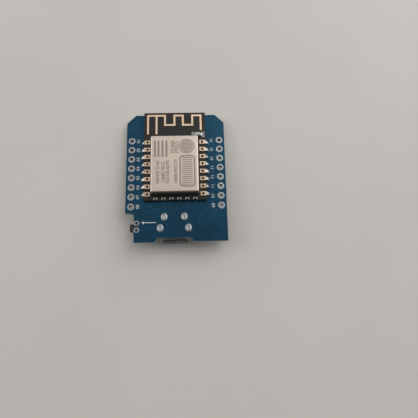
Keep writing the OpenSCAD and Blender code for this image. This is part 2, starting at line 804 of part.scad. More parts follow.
module crystal_base(base) {
    translate([-crystal_l / 2, -crystal_w / 2, base]) cube([crystal_l, crystal_w, crystal_base_h]);
}
module crystal_lid(base) {
    size = [crystal_l - 2 * crystal_margin, crystal_w - 2 * crystal_margin, crystal_lid_h];
    translate([-size[0] / 2, -size[1] / 2, base + crystal_base_h]) cube(size);
}

module module_crystal_base() {
    color("#3c3a38") under_can(module_crystal_place, 90) crystal_base(0);
}
module module_crystal_lid() {
    color("#c9c5ba") under_can(module_crystal_place, 90) crystal_lid(0);
}
module module_chip_bodies() {
    color("#b9986a") for (place = mini_places)
        under_can(place) chip_body(mini_l, mini_w, mini_w, mini_end, 0);
}
module module_chip_terminals() {
    color("#d8d8d4") for (place = mini_places)
        under_can(place) chip_terminals(mini_l, mini_w, mini_w, mini_end, 0);
}

module at_led() {
    translate([module_shift + module_w / 2 - led_x, module_far - led_inset, module_top]) children();
}
module status_led_base() {
    color("#e6e2d2") at_led() chip_body(chip_l, chip_w, led_base_h, cap_end, land_t);
}
module status_led_lens() {
    size = chip_l - 2 * cap_end;
    color("#e9ecef") at_led() moulded_body(size, chip_w, led_lens_h, land_t + led_base_h + cap_proud);
}
module status_led_terminals() {
    color("#dcdcda") at_led() chip_terminals(chip_l, chip_w, led_base_h, cap_end, land_t);
}

// Data socket

// A lip at the mouth, from the wall that looks along +Z at z = 0, running forwards
module lip(width) {
    root = mouth_y + shell_wall;
    along_x(width) polygon([[root, -shell_wall], [root, 0], [mouth_y, 0], [socket_front, lip_flare],
        [socket_front, lip_flare - shell_wall], [mouth_y, -shell_wall]]);
}

module shell_lips() {
    side_l = shell_h - shell_slant - shell_round;
    lip(2 * flat_half);
    translate([0, 0, -shell_h]) mirror([0, 0, 1]) lip(shell_w - 2 * shell_round);
    for (side = [-1, 1]) translate([side * shell_w / 2, 0, -shell_slant - side_l / 2])
        rotate([0, side * 90, 0]) lip(side_l);
}

// A springy finger left between slots in the shell's outer wall, and a window for the plug's hook
module shell_cut(side) {
    finger = [finger_w, finger_l];
    slot = finger_slot;
    translate([side * shell_w / 4, mouth_y + finger_l, -shell_h - over])
        linear_extrude(over + shell_wall * 1.5) {
            difference() {
                translate([0, slot / 2]) square(finger + [2 * slot, slot], center = true);
                translate([0, -slot / 2]) square(finger + [0, slot], center = true);
            }
            translate([0, finger_l]) square([finger_w, hook_window], center = true);
        }
}

// An opening at the rear of the wall next to the carrier, where the contacts' legs come up
module shell_tail_gap() {
    gap = [contact_count * contact_pitch + 2 * contact_w, contact_t + tab_room];
    translate([-gap[0] / 2, shell_rear - gap[1], -shell_wall - over / 2])
        cube([gap[0], gap[1] + over, 2 * over]);
}

module shell_tab(tab) {
    height = board_t + tab_proud - tab[2];
    translate([tab[0] - shell_wall / 2, tab[1] - tab_l / 2, tab[2]]) cube([shell_wall, tab_l, height]);
}

module socket_shell() {
    color("#c6c6c2") {
        translate([socket_shift, 0, 0]) difference() {
            union() {
                translate([0, mouth_y + shell_l / 2, 0]) along_y(shell_l) difference() {
                    polygon(shell_outline(0));
                    polygon(shell_outline(shell_wall));
                }
                shell_lips();
            }
            for (side = [-1, 1]) shell_cut(side);
            shell_tail_gap();
        }
        for (tab = tab_places) shell_tab(tab);
    }
}

module socket_insulator() {
    rear = shell_rear - contact_t;
    color("#232325") translate([socket_shift, 0, 0]) difference() {
        union() {
            translate([0, rear - insulator_l / 2, 0])
                along_y(insulator_l) polygon(shell_outline(shell_wall));
            translate([-tongue_w / 2, rear - insulator_l - tongue_l, tongue_z])
                cube([tongue_w, tongue_l + over, tongue_t]);
        }
        translate([-socket_shift, 0, 0]) contact_bars(over);
    }
}

// The straight part of each contact, on the tongue's side towards the carrier
module contact_bars(extra) {
    length = insulator_l + tongue_l - contact_setback;
    top = tongue_z + tongue_t;
    for (x = contact_x)
        translate([x - contact_w / 2, shell_rear - contact_t - length, top - contact_t / 2])
        cube([contact_w, length + extra, contact_t]);
}

// Contacts with a leg up the insulator's back and a foot on the carrier
module socket_contacts() {
    low = tongue_z + tongue_t - contact_t / 2;
    color("#d3b25c") {
        contact_bars(contact_t);
        for (x = contact_x) translate([x - contact_w / 2, shell_rear - contact_t, 0]) {
            translate([0, 0, low]) cube([contact_w, contact_t, -low - land_t]);
            translate([0, 0, -land_t - contact_t]) cube([contact_w, contact_foot, contact_t]);
        }
    }
}

// Solder in the slot round each tab, and a rounded pool over it on the top face
module tab_pool(tab) {
    height = tab_proud + tab_cover;
    difference() {
        union() {
            translate([tab[0], tab[1], 0]) linear_extrude(board_t) tab_slot(0);
            translate([tab[0], tab[1], board_t]) hull() for (a = [0 : 30 : 90])
                linear_extrude(land_t + (height - land_t) * sin(a)) tab_slot(tab_rim * cos(a), 32);
        }
        shell_tab(tab);
    }
}

module socket_tab_solder() {
    color("#dfdfdd") for (tab = tab_places) tab_pool(tab);
}

// Reset switch

module switch_base() {
    back = notch_x + switch_depth;
    front = notch_x + cover_t;
    inner = [back - front - switch_wall, switch_l - 2 * switch_wall];
    inner_z = plunger_z + (plunger_h + plunger_shoulder) / 2 + plunger_play;
    color("#202124") {
        difference() {
            translate([front, switch_y - switch_l / 2, -switch_h + cover_t])
                cube([back - front, switch_l, switch_h - cover_t]);
            translate([front - over, switch_y - inner[1] / 2, -switch_h])
                cube([inner[0] + over, inner[1], switch_h + inner_z]);
        }
        for (spot = peg_spots) translate([spot[0], spot[1], inner_z / 2])
            cylinder(d = peg_d, h = board_t - peg_short - inner_z / 2);
    }
}

// A bent sheet over the open side and the front, with a window for the plunger and an ear at each end
module switch_cover() {
    window = [plunger_w + 2 * plunger_play, plunger_h + 2 * plunger_play];
    color("#c4c4c0") {
        translate([notch_x, switch_y - switch_l / 2, -switch_h]) cube([switch_depth, switch_l, cover_t]);
        difference() {
            translate([notch_x, switch_y - switch_l / 2, -switch_h])
                cube([cover_t, switch_l, switch_h - land_t]);
            translate([notch_x - over, switch_y - window[0] / 2, plunger_z - window[1] / 2])
                cube([2 * over, window[0], window[1]]);
        }
        translate([notch_x, switch_y - switch_l / 2 - cover_t, -switch_h])
            cube([ear_w, switch_l + 2 * cover_t, cover_t]);
        for (side = [0, 1]) translate([notch_x, switch_y, -switch_h]) mirror([0, side, 0])
            translate([0, switch_l / 2, 0]) cube([ear_w, cover_t, ear_h]);
    }
}

// Plan of the plunger: a stem with a round end and a wider head behind the cover
module plunger_plan() {
    r = plunger_round;
    half = plunger_w / 2;
    polygon(concat(
        bend([plunger_tip + r, half - r], r, 90, 180),
        bend([plunger_tip + r, -half + r], r, 180, 270),
        [[head_front + plunger_play, -half], [head_front + plunger_play, half]]));
}

module switch_plunger() {
    head_w = plunger_w + 2 * plunger_shoulder;
    head_h = plunger_h + plunger_shoulder;
    head_l = head_back - head_front - plunger_play;
    nose = dome_front - plunger_play - head_back;
    color("#19191b") translate([0, switch_y, plunger_z]) {
        translate([0, 0, -plunger_h / 2]) linear_extrude(plunger_h) plunger_plan();
        translate([head_front + plunger_play, -head_w / 2, -head_h / 2]) cube([head_l, head_w, head_h]);
        translate([head_back, 0, 0]) rotate([0, 90, 0]) cylinder(d = nose_d, h = nose);
    }
}

// A strip of a thin spherical cap, bulging towards the plunger
module switch_dome() {
    color("#cfcfca") translate([dome_front + dome_r, switch_y, plunger_z]) intersection() {
        difference() {
            sphere(r = dome_r, $fn = 96);
            sphere(r = dome_r - dome_t, $fn = 96);
        }
        translate([-dome_r - over, -dome_y_half, -dome_z_half])
            cube([dome_rise + over, 2 * dome_y_half, 2 * dome_z_half]);
    }
}

// A strip down each end of the base with a foot on the carrier
module switch_terminals() {
    height = -plunger_z - land_t;
    color("#d6d6d2") for (side = [-1, 1])
        translate([notch_x + switch_depth / 2 - terminal_w / 2, switch_y, 0])
            mirror([0, side > 0 ? 0 : 1, 0]) {
                translate([0, switch_l / 2, plunger_z]) cube([terminal_w, terminal_t, height]);
                translate([0, switch_l / 2, -land_t - terminal_t])
                    cube([terminal_w, terminal_foot, terminal_t]);
            }
}

// Parts on the underside

module serial_chip() {
    mark = [serial_w / 2 - dimple_inset, serial_l / 2 - dimple_inset];
    color("#26272a") underside(serial_spot) difference() {
        moulded_body(serial_w, serial_l, serial_h, body_base);
        translate([mark[0], mark[1], body_base + serial_h - dimple_depth])
            cylinder(d = dimple_d, h = over);
    }
}
module serial_chip_leads() {
    color("#c8c8c4") underside(serial_spot)
        lead_rows(serial_rows, serial_rows, serial_w, serial_span, serial_h, body_base, land_t);
}

module clock_crystal_base() {
    color("#3c3a38") underside(crystal_spot) crystal_base(land_t);
}
module clock_crystal_lid() {
    color("#c9c5ba") underside(crystal_spot) crystal_lid(land_t);
}

module regulator() {
    color("#26272a") underside(regulator_spot)
        moulded_body(regulator_w, regulator_l, small_body_h, body_base);
}
module regulator_leads() {
    color("#c8c8c4") underside(regulator_spot)
        lead_rows(regulator_rows, regulator_pair, regulator_w, regulator_span, small_body_h, body_base,
                  land_t);
}

module transistor_bodies() {
    color("#26272a") for (spot = transistor_spots)
        underside(spot) moulded_body(transistor_w, transistor_l, small_body_h, body_base);
}
module transistor_leads() {
    color("#c8c8c4") for (spot = transistor_spots) underside(spot) lead_rows(transistor_pair,
        transistor_single, transistor_w, transistor_span, small_body_h, body_base, land_t);
}

module fuse_body() {
    color("#2f6b45") underside(fuse_spot) chip_body(fuse_l, fuse_w, fuse_h, cap_end, land_t);
}
module fuse_terminals() {
    color("#d8d8d4") underside(fuse_spot) chip_terminals(fuse_l, fuse_w, fuse_h, cap_end, land_t);
}

module capacitor_bodies() {
    color("#b08d5f") {
        for (spot = bulk_spots) underside(spot) chip_body(bulk_l, bulk_w, bulk_h, cap_end, land_t);
        for (spot = small_cap_spots) underside(spot)
            chip_body(chip_l, chip_w, small_cap_h, cap_end, land_t);
    }
}
module capacitor_terminals() {
    color("#d8d8d4") {
        for (spot = bulk_spots) underside(spot) chip_terminals(bulk_l, bulk_w, bulk_h, cap_end, land_t);
        for (spot = small_cap_spots) underside(spot)
            chip_terminals(chip_l, chip_w, small_cap_h, cap_end, land_t);
    }
}

module resistor_bodies() {
    color("#2b2b2d") for (spot = resistor_spots)
        underside(spot) chip_body(chip_l, chip_w, resistor_h, cap_end, land_t);
}
module resistor_terminals() {
    color("#d8d8d4") for (spot = resistor_spots)
        underside(spot) chip_terminals(chip_l, chip_w, resistor_h, cap_end, land_t);
}

// Lands under the crystal's four corners, the socket's contacts and the switch's terminals
module flat_land(size) {
    translate([-size[0] / 2, -size[1] / 2, -land_t]) cube([size[0], size[1], land_t]);
}
module crystal_lands() {
    pad = [crystal_land_l, crystal_land_w];
    for (sx = [-1, 1], sy = [-1, 1])
        translate([crystal_spot[0] + sx * crystal_l / 2, crystal_spot[1] + sy * crystal_w / 2, 0])
            flat_land(pad);
}
module contact_lands() {
    pad = [contact_w + 2 * land_margin, contact_foot];
    for (x = contact_x) translate([x, shell_rear + tab_room + pad[1] / 2, 0]) flat_land(pad);
}
module switch_lands() {
    pad = [terminal_w + 2 * land_margin, terminal_foot + fillet_reach];
    for (side = [-1, 1])
        translate([notch_x + switch_depth / 2, switch_y + side * (switch_l + pad[1]) / 2, 0])
            flat_land(pad);
}

module underside_solder() {
    color("#dcdcda") {
        underside(serial_spot) lead_solder(serial_rows, serial_rows, serial_span);
        underside(regulator_spot) lead_solder(regulator_rows, regulator_pair, regulator_span);
        for (spot = transistor_spots) underside(spot)
            lead_solder(transistor_pair, transistor_single, transistor_span);
        underside(fuse_spot) chip_solder(fuse_l, fuse_w, fuse_h, cap_end);
        for (spot = bulk_spots) underside(spot) chip_solder(bulk_l, bulk_w, bulk_h, cap_end);
        for (spot = small_cap_spots) underside(spot) chip_solder(chip_l, chip_w, small_cap_h, cap_end);
        for (spot = resistor_spots) underside(spot) chip_solder(chip_l, chip_w, resistor_h, cap_end);
        crystal_lands();
        contact_lands();
        switch_lands();
    }
}

carrier_board();
header_plating();
switch_peg_rings();
underside_solder();
module_board();
module_castellations();
module_solder();
antenna_trace();
shield_can();
radio_chip();
flash_chip();
flash_leads();
module_crystal_base();
module_crystal_lid();
module_chip_bodies();
module_chip_terminals();
status_led_base();
status_led_lens();
status_led_terminals();
socket_shell();
socket_insulator();
socket_contacts();
socket_tab_solder();
switch_base();
switch_cover();
switch_plunger();
switch_dome();
switch_terminals();
serial_chip();
serial_chip_leads();
clock_crystal_base();
clock_crystal_lid();
regulator();
regulator_leads();
transistor_bodies();
transistor_leads();
fuse_body();
fuse_terminals();
capacitor_bodies();
capacitor_terminals();
resistor_bodies();
resistor_terminals();
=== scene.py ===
"""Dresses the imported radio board: its finishes, solder, copper tracks, printed marks, lamps and camera."""

import json
import logging
import math
from collections.abc import Callable, Iterable, Sequence
from dataclasses import dataclass
from enum import Enum

import bmesh
import bpy
from mathutils import Matrix, Vector


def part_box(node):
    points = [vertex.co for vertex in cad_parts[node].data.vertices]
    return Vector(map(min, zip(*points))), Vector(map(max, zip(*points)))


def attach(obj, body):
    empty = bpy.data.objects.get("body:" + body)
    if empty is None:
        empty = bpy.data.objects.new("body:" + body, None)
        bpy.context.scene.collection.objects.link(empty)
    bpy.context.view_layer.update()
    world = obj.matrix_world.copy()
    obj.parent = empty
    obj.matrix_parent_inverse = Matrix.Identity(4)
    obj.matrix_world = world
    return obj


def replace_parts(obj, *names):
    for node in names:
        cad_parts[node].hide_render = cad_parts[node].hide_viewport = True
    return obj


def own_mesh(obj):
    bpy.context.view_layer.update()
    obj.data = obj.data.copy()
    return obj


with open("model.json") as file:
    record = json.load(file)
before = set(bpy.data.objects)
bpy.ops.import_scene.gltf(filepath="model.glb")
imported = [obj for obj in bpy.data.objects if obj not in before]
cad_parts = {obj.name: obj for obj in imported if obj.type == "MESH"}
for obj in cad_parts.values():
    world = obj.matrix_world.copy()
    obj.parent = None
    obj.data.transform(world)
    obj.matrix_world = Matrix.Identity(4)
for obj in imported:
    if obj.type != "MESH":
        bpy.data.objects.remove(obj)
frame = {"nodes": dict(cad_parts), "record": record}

LOG = logging.getLogger("radio_board")
NODE_SLOTS = {part["node"]: part["material_slot"] for part in frame["record"]["subparts"]}
MM = 0.001
UP = Vector((0, 0, 1))

# Sizes are in millimetres on the board. Points nearer than the seam are one point.
SEAM_MM = 0.001
LEAST_STEP = 0.01
BOARD_TOP = 1.2
RING_X = 10.63

# Faces that meet at more than the first angle keep their edge, and at less than the second are one face
SHARP_DEG = 32.0
FLAT_DEG = 0.5
QUARTER_DEG = 90
FULL_DEG = 360

# A corner's mitre reaches no further than the track's half width over this share
MITRE_SHARE = 0.4
CURVE_STEPS = 4
SORT_DIGITS = 2
ROUND_EDGES = {"offset_type": "OFFSET", "profile": 0.5, "affect": "EDGES", "material": -1}

# The sRGB curve: a straight foot up to the knee, and a power above it
BYTE = 255
SRGB_KNEE = 0.04045
SRGB_SLOPE = 12.92
SRGB_OFFSET = 0.055
SRGB_POWER = 2.4

# Blender's wave texture turns by this many radians over one unit of its scaled coordinates
WAVE_RADIANS = 20.0
# A Mix node repeats its socket names for each data type, so its sockets are taken by number
MIX_SHARE = 0
COLOUR_A = 6
COLOUR_B = 7
COLOUR_OUT = 2
FLOAT_A = 2
FLOAT_B = 3

Bm = bmesh.types.BMesh
Socket = bpy.types.NodeSocket
Box = tuple[Vector, Vector]
Point = tuple[float, float]
Place = tuple[float, float, float]
Profile = tuple[Point, ...]
Runs = tuple[tuple[Point, ...], ...]
Edges = tuple[tuple[str, float], ...]


class Body(Enum):
    """CAD bodies that pieces ride on."""

    BOARD = "board"
    BUTTON = "reset_button"


class Face(Enum):
    """The two faces of the carrier, by the direction that they look in."""

    TOP = 1
    UNDER = -1


def per_mm(size: float) -> float:
    """Returns the texture scale at which one feature has this size in millimetres."""
    return 1.0 / (size * MM)


def wave_scale(period: float) -> float:
    """Returns the scale at which a wave texture repeats after this many millimetres."""
    return math.tau / (WAVE_RADIANS * period * MM)


def linear(colour: str) -> tuple[float, ...]:
    """Turns an sRGB hex colour into linear light.

    Args:
        colour: Six hex digits after a number sign.

    Returns:
        Red, green, blue and an alpha of one.
    """
    light = []
    for part in bytes.fromhex(colour[1:]):
        share = part / BYTE
        curved = ((share + SRGB_OFFSET) / (1 + SRGB_OFFSET)) ** SRGB_POWER
        light.append(share / SRGB_SLOPE if share <= SRGB_KNEE else curved)
    return (*light, 1.0)


def add_node(tree: bpy.types.NodeTree, kind: str, inputs: dict | None = None, out: str | int = 0,
             **settings: object) -> Socket:
    """Adds one shader node with its settings, and fills or links its inputs.

    Args:
        tree: The node tree that the node goes into.
        kind: Blender's name of the node type, after the word ShaderNode.
        inputs: Values, or output sockets to link, by input name or number.
        out: The output that is wanted, by name or number.
        settings: Properties of the node itself.

    Returns:
        The wanted output.
    """
    node = tree.nodes.new(f"ShaderNode{kind}")
    for key, value in settings.items():
        setattr(node, key, value)
    for key, value in (inputs or {}).items():
        if isinstance(value, Socket):
            tree.links.new(value, node.inputs[key])
        else:
            node.inputs[key].default_value = value
    return node.outputs[out]


@dataclass(frozen=True)
class Skin:
    """What a finish works on: a material's node tree, its surface shader and its Object coordinates."""

    tree: bpy.types.NodeTree
    shader: bpy.types.Node
    place: Socket

    def link(self, name: str, socket: Socket) -> None:
        """Links a socket to the shader's input of this name."""
        self.tree.links.new(socket, self.shader.inputs[name])


@dataclass(frozen=True)
class Finish:
    """A real material with patches of a second colour and a fine grain in its surface.

    Real grain on parts this small is mostly finer than a pixel. It is drawn as coarse as it needs to show.
    """

    name: str
    colour: str
    patch_colour: str
    roughness: float
    metallic: float = 0.0
    specular: float = 0.5
    patch_mm: float = 2.0
    patch_share: float = 0.6
    patch_edges: Point = (0.35, 0.65)
    patch_detail: float = 4.0
    rough_spread: float = 0.08
    grain_mm: float = 0.12
    grain_depth_mm: float = 0.004
    grain_detail: float = 3.0
    stretch: Place = (1.0, 1.0, 1.0)
    coat: float = 0.0
    coat_polish: float = 0.7
    clear: float = 0.0
    ior: float = 1.5

    def build(self) -> bpy.types.Material:
        """Makes the material the first time it is asked for.

        Returns:
            The material.
        """
        found = bpy.data.materials.get(self.name)
        if found is not None:
            return found
        material = bpy.data.materials.new(self.name)
        material.use_nodes = True
        tree = material.node_tree
        shader = tree.nodes["Principled BSDF"]
        constants = {
            "Metallic": self.metallic, "Specular IOR Level": self.specular, "IOR": self.ior,
            "Coat Weight": self.coat, "Coat Roughness": self.roughness * self.coat_polish,
            "Transmission Weight": self.clear}
        for name, value in constants.items():
            shader.inputs[name].default_value = value
        self.shade(Skin(tree, shader, add_node(tree, "TexCoord", out="Object")))
        return material

    def shade(self, skin: Skin) -> None:
        """Links colour, roughness and bump to the shader.

        Args:
            skin: The material's nodes.
        """
        skin.link("Base Color", self.tint(skin))
        grain = self.grain(skin)
        skin.link("Roughness", add_node(skin.tree, "MapRange", {
            "Value": grain, "To Min": self.roughness - self.rough_spread,
            "To Max": self.roughness + self.rough_spread}))
        skin.link("Normal", add_node(skin.tree, "Bump", {
            "Height": grain, "Strength": 1.0, "Distance": self.grain_depth_mm * MM}))

    def tint(self, skin: Skin) -> Socket:
        """Mixes the two colours in soft patches.

        Args:
            skin: The material's nodes.

        Returns:
            The colour socket.
        """
        patches = add_node(skin.tree, "TexNoise", {
            "Vector": skin.place, "Scale": per_mm(self.patch_mm), "Detail": self.patch_detail})
        low, high = self.patch_edges
        share = add_node(skin.tree, "MapRange", {
            "Value": patches, "From Min": low, "From Max": high, "To Max": self.patch_share})
        return add_node(skin.tree, "Mix", {
            MIX_SHARE: share, COLOUR_A: linear(self.colour), COLOUR_B: linear(self.patch_colour)},
            COLOUR_OUT, data_type="RGBA")

    def grain(self, skin: Skin) -> Socket:
        """Returns the height of the surface's own grain, drawn out along its working direction."""
        drawn = add_node(skin.tree, "Mapping", {"Vector": skin.place, "Scale": self.stretch})
        return add_node(skin.tree, "TexNoise", {
            "Vector": drawn, "Scale": per_mm(self.grain_mm), "Detail": self.grain_detail})


@dataclass(frozen=True)
class MaskedLaminate(Finish):
    """Glass-epoxy board: solder mask over faint glass cloth on its faces, bare laminate on its cut edges.

    The threads stand a little further apart than in real cloth, so that they show through the mask.
    """

    edge_colour: str = "#8f9a86"
    edge_dark: str = "#5d6a5e"
    ply_mm: float = 1.2566
    ply_wobble: float = 2.0
    thread_mm: float = 1.0
    thread_wobble: float = 0.6
    thread_share: float = 0.25
    face_tilt: Point = (0.3, 0.6)

    def shade(self, skin: Skin) -> None:
        """Keeps the mask and the copper's glint to the faces, and shows the plies where the board was cut.

        Args:
            skin: The material's nodes.
        """
        super().shade(skin)
        tree = skin.tree
        mask = skin.shader.inputs["Base Color"].links[0].from_socket
        plies = add_node(tree, "TexWave", {
            "Vector": skin.place, "Scale": wave_scale(self.ply_mm), "Distortion": self.ply_wobble},
            "Fac", bands_direction="Z")
        edge = add_node(tree, "Mix", {
            MIX_SHARE: plies, COLOUR_A: linear(self.edge_colour), COLOUR_B: linear(self.edge_dark)},
            COLOUR_OUT, data_type="RGBA")
        tilt = add_node(tree, "SeparateXYZ", {"Vector": add_node(tree, "NewGeometry", out="Normal")}, "Z")
        level = add_node(tree, "Math", {0: tilt}, operation="ABSOLUTE")
        low, high = self.face_tilt
        on_face = add_node(tree, "MapRange", {"Value": level, "From Min": low, "From Max": high})
        skin.link("Base Color", add_node(tree, "Mix", {
            MIX_SHARE: on_face, COLOUR_A: edge, COLOUR_B: mask}, COLOUR_OUT, data_type="RGBA"))
        skin.link("Metallic", add_node(tree, "Math", {0: on_face, 1: self.metallic}, operation="MULTIPLY"))

    def grain(self, skin: Skin) -> Socket:
        """Adds the crossing threads of the glass cloth to the mask's own ripple.

        Args:
            skin: The material's nodes.

        Returns:
            The height socket.
        """
        ripple = super().grain(skin)
        wave = {"Vector": skin.place, "Scale": wave_scale(self.thread_mm), "Distortion": self.thread_wobble}
        threads = [add_node(skin.tree, "TexWave", wave, "Fac", bands_direction=axis) for axis in ("X", "Y")]
        crossing = add_node(skin.tree, "Math", dict(enumerate(threads)), operation="MULTIPLY")
        return add_node(skin.tree, "Mix", {
            MIX_SHARE: self.thread_share, FLOAT_A: ripple, FLOAT_B: crossing}, data_type="FLOAT")


@dataclass(frozen=True)
class GoldOnPads(Finish):
    """Thin gold over nickel, worn to the pale nickel near the module's soldered end."""

    pale_colour: str = "#9b9b98"
    pale_from_mm: float = -6.6
    pale_to_mm: float = -6.9

    def tint(self, skin: Skin) -> Socket:
        """Goes over to the pale metal past a place along the board.

        Args:
            skin: The material's nodes.

        Returns:
            The colour socket.
        """
        gold = super().tint(skin)
        along = add_node(skin.tree, "SeparateXYZ", {"Vector": skin.place}, "Y")
        share = add_node(skin.tree, "MapRange", {
            "Value": along, "From Min": self.pale_from_mm * MM, "From Max": self.pale_to_mm * MM})
        return add_node(skin.tree, "Mix", {
            MIX_SHARE: share, COLOUR_A: gold, COLOUR_B: linear(self.pale_colour)},
            COLOUR_OUT, data_type="RGBA")


# Where copper runs under the mask it stands a little higher and shows paler
BLUE_TRACK = Finish(
    "blue solder mask over a track", "#184d68", "#164760", 0.34, metallic=0.72, specular=0.3,
    grain_mm=0.3, coat=0.1)
# Tin down in a hole: darker than the ring's tin as painted shade, so that the hole reads dark inside its
# pale ring
HOLE_TIN_PAINTED_SHADE = Finish(
    "tin plate darkened as painted hole shade", "#5b5e61", "#484b4e", 0.5, metallic=1.0, patch_mm=0.4, grain_mm=0.08)
# Hand-made joints cooled slowly: the same solder, duller and slightly dimpled
FROSTED_SOLDER = Finish(
    "frosted tin solder", "#9ea2a5", "#7f8488", 0.44, metallic=1.0,
    patch_mm=0.5, rough_spread=0.1, grain_mm=0.25, grain_depth_mm=0.01)
# Laser marks: the satin is burnt to a darker matt grey
CAN_ETCH = Finish(
    "laser-marked nickel silver", "#978d84", "#8a8078", 0.62, metallic=0.8, patch_mm=0.6, grain_mm=0.05)
# Legend ink: white, slightly chalky, laid on by screen
WHITE_INK = Finish(
    "screened legend ink", "#d3d9da", "#b9c2c5", 0.6, specular=0.3, patch_mm=0.2, grain_mm=0.05)
# Floor: pale matt card with a faint tooth
PALE_CARD = Finish(
    "pale matt card", "#cbc8c4", "#c6c3bf", 0.8, specular=0.2,
    patch_mm=40.0, grain_mm=0.4, grain_depth_mm=0.002)

# The finish of each material slot in the record
SLOT_FINISHES = {
    # Blue mask: a clear dark film over copper foil, so that its glint is blue too, with a haze of gloss
    "blue_solder_mask": MaskedLaminate(
        "blue solder mask on laminate", "#124058", "#10394e", 0.36, metallic=0.72, specular=0.3,
        patch_mm=6.0, grain_mm=0.35, grain_depth_mm=0.002, coat=0.1),
    # Black mask: near black with a soft sheen
    "black_solder_mask": MaskedLaminate(
        "black solder mask on laminate", "#1c1b1b", "#232121", 0.42, specular=0.3,
        patch_mm=3.0, grain_mm=0.3, edge_colour="#4a463d", edge_dark="#34312b"),
    # Dull tin: pale grey metal with fine scuffs from pins and probes
    "tinned_copper": Finish(
        "dull tin plate", "#abafb2", "#8f9497", 0.38, metallic=1.0, patch_mm=0.5, grain_mm=0.06),
    # Solder: bright where it flowed, frosted where it froze last
    "solder": Finish(
        "bright tin solder", "#b2b1b0", "#949392", 0.42, metallic=1.0,
        patch_mm=0.4, rough_spread=0.14, grain_mm=0.2, grain_depth_mm=0.006),
    # Immersion gold: pale warm metal, slightly satin over etched copper
    "gold_plating": GoldOnPads(
        "immersion gold on copper", "#dfc8b0", "#cdb08e", 0.36, metallic=1.0, patch_mm=0.8, grain_mm=0.08),
    # Nickel silver: warm grey sheet, satin from rolling along its length, its lines coarser than life
    "nickel_silver_can": Finish(
        "rolled nickel silver sheet", "#cdc0b4", "#c3b6aa", 0.44, metallic=1.0,
        patch_mm=3.5, grain_mm=0.06, grain_depth_mm=0.0012, stretch=(1.0, 0.04, 1.0)),
    # Nickel plate on pressed steel: cool grey, with drawing lines along the socket, coarser than life
    "nickel_steel": Finish(
        "nickel-plated pressed steel", "#a4a7aa", "#8e9194", 0.36, metallic=1.0,
        patch_mm=1.5, grain_mm=0.06, grain_depth_mm=0.0015, stretch=(1.0, 0.06, 1.0)),
    # Crystal lids: nickel plate with a satin roll finish, its lines coarser than life
    "nickel_lid": Finish(
        "satin nickel plate", "#cfcabf", "#bcb6aa", 0.32, metallic=1.0,
        patch_mm=1.2, grain_mm=0.05, grain_depth_mm=0.001, stretch=(0.06, 1.0, 1.0)),
    # Stainless spring sheet: thin, bright and hard-rolled
    "spring_steel": Finish(
        "hard-rolled stainless sheet", "#c9c9c6", "#b4b4b1", 0.24, metallic=1.0,
        patch_mm=0.8, grain_mm=0.05),
    # Moulding compound: dark grey, finely pitted by the spark-eroded mould
    "black_moulding": Finish(
        "moulded epoxy compound", "#26272a", "#1d1e20", 0.58,
        patch_mm=0.8, grain_mm=0.07, grain_depth_mm=0.01),
    # Insulator plastic: glass-filled, a little smoother and blacker
    "black_insulator": Finish(
        "glass-filled moulded plastic", "#1b1c1d", "#232425", 0.46,
        patch_mm=0.6, grain_mm=0.09, grain_depth_mm=0.006),
    # The button: matt black, rubbed a little shiny in patches
    "button_plastic": Finish(
        "matt moulded button plastic", "#343537", "#2b2c2e", 0.5,
        patch_mm=0.5, grain_mm=0.06, grain_depth_mm=0.006),
    # Fired ceramics: dry and even, with a fine speckle
    "dark_ceramic": Finish("dark fired ceramic", "#3b3936", "#302e2c", 0.55, patch_mm=0.3, grain_mm=0.05),
    "tan_ceramic": Finish(
        "tan fired ceramic", "#b08c60", "#9b7950", 0.5, patch_mm=0.25, grain_mm=0.05, grain_depth_mm=0.006),
    # Resistor glaze: glassy black film over the ceramic
    "resistor_glaze": Finish(
        "black resistor glaze", "#1e1f21", "#17181a", 0.22, patch_mm=0.4, grain_mm=0.1),
    # Fuse laminate: green, with the matt cut face of a sawn panel
    "green_laminate": Finish(
        "sawn green laminate", "#2f6b48", "#285c3e", 0.55,
        patch_mm=0.3, grain_mm=0.08, grain_depth_mm=0.008),
    # White laminate under the light: chalky and even
    "white_laminate": Finish(
        "white reflective laminate", "#e4e0d2", "#d6d1c0", 0.5, patch_mm=0.3, grain_mm=0.08),
    # Light lens: milky epoxy, smooth from its mould, so that light enters and spreads inside
    "clear_lens": Finish(
        "cloudy clear epoxy", "#eceee9", "#dfe3dc", 0.2, patch_mm=0.4, grain_mm=0.15, clear=0.45, ior=1.52),
}


def box_mm(node: str) -> Box:
    """Returns a CAD node's lowest and highest corners in millimetres."""
    low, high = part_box(node)
    return low / MM, high / MM


def merged_copy(node: str) -> Bm:
    """Copies a CAD node's loose triangles into a bmesh and joins them.

    Args:
        node: Name of the CAD node.

    Returns:
        The joined copy, in metres.
    """
    bm = bmesh.new()
    bm.from_mesh(frame["nodes"][node].data)
    bmesh.ops.remove_doubles(bm, verts=bm.verts, dist=SEAM_MM * MM)
    return bm


def solid_boxes(node: str) -> list[Box]:
    """Finds the box of each separate solid in a CAD node.

    Args:
        node: Name of the CAD node.

    Returns:
        Lowest and highest corners in millimetres, in a fixed order.
    """
    bm = merged_copy(node)
    left = set(bm.verts)
    boxes = []
    for seed in bm.verts:
        if seed not in left:
            continue
        left.discard(seed)
        found, todo = [seed], [seed]
        while todo:
            here = todo.pop()
            beside = [edge.other_vert(here) for edge in here.link_edges]
            fresh = [vert for vert in beside if vert in left]
            left.difference_update(fresh)
            found += fresh
            todo += fresh
        spans = [[vert.co[axis] / MM for vert in found] for axis in range(3)]
        boxes.append((Vector([min(span) for span in spans]), Vector([max(span) for span in spans])))
    bm.free()
    return sorted(boxes, key=lambda box: [round(value, SORT_DIGITS) for value in box[0]])


def add_object(name: str, data: bpy.types.ID) -> bpy.types.Object:
    """Puts a new object at the scene's origin.

    Args:
        name: Name of the object.
        data: Its mesh, text, lamp or camera.

    Returns:
        The new object.
    """
    made = bpy.data.objects.new(name, data)
    bpy.context.scene.collection.objects.link(made)
    return made


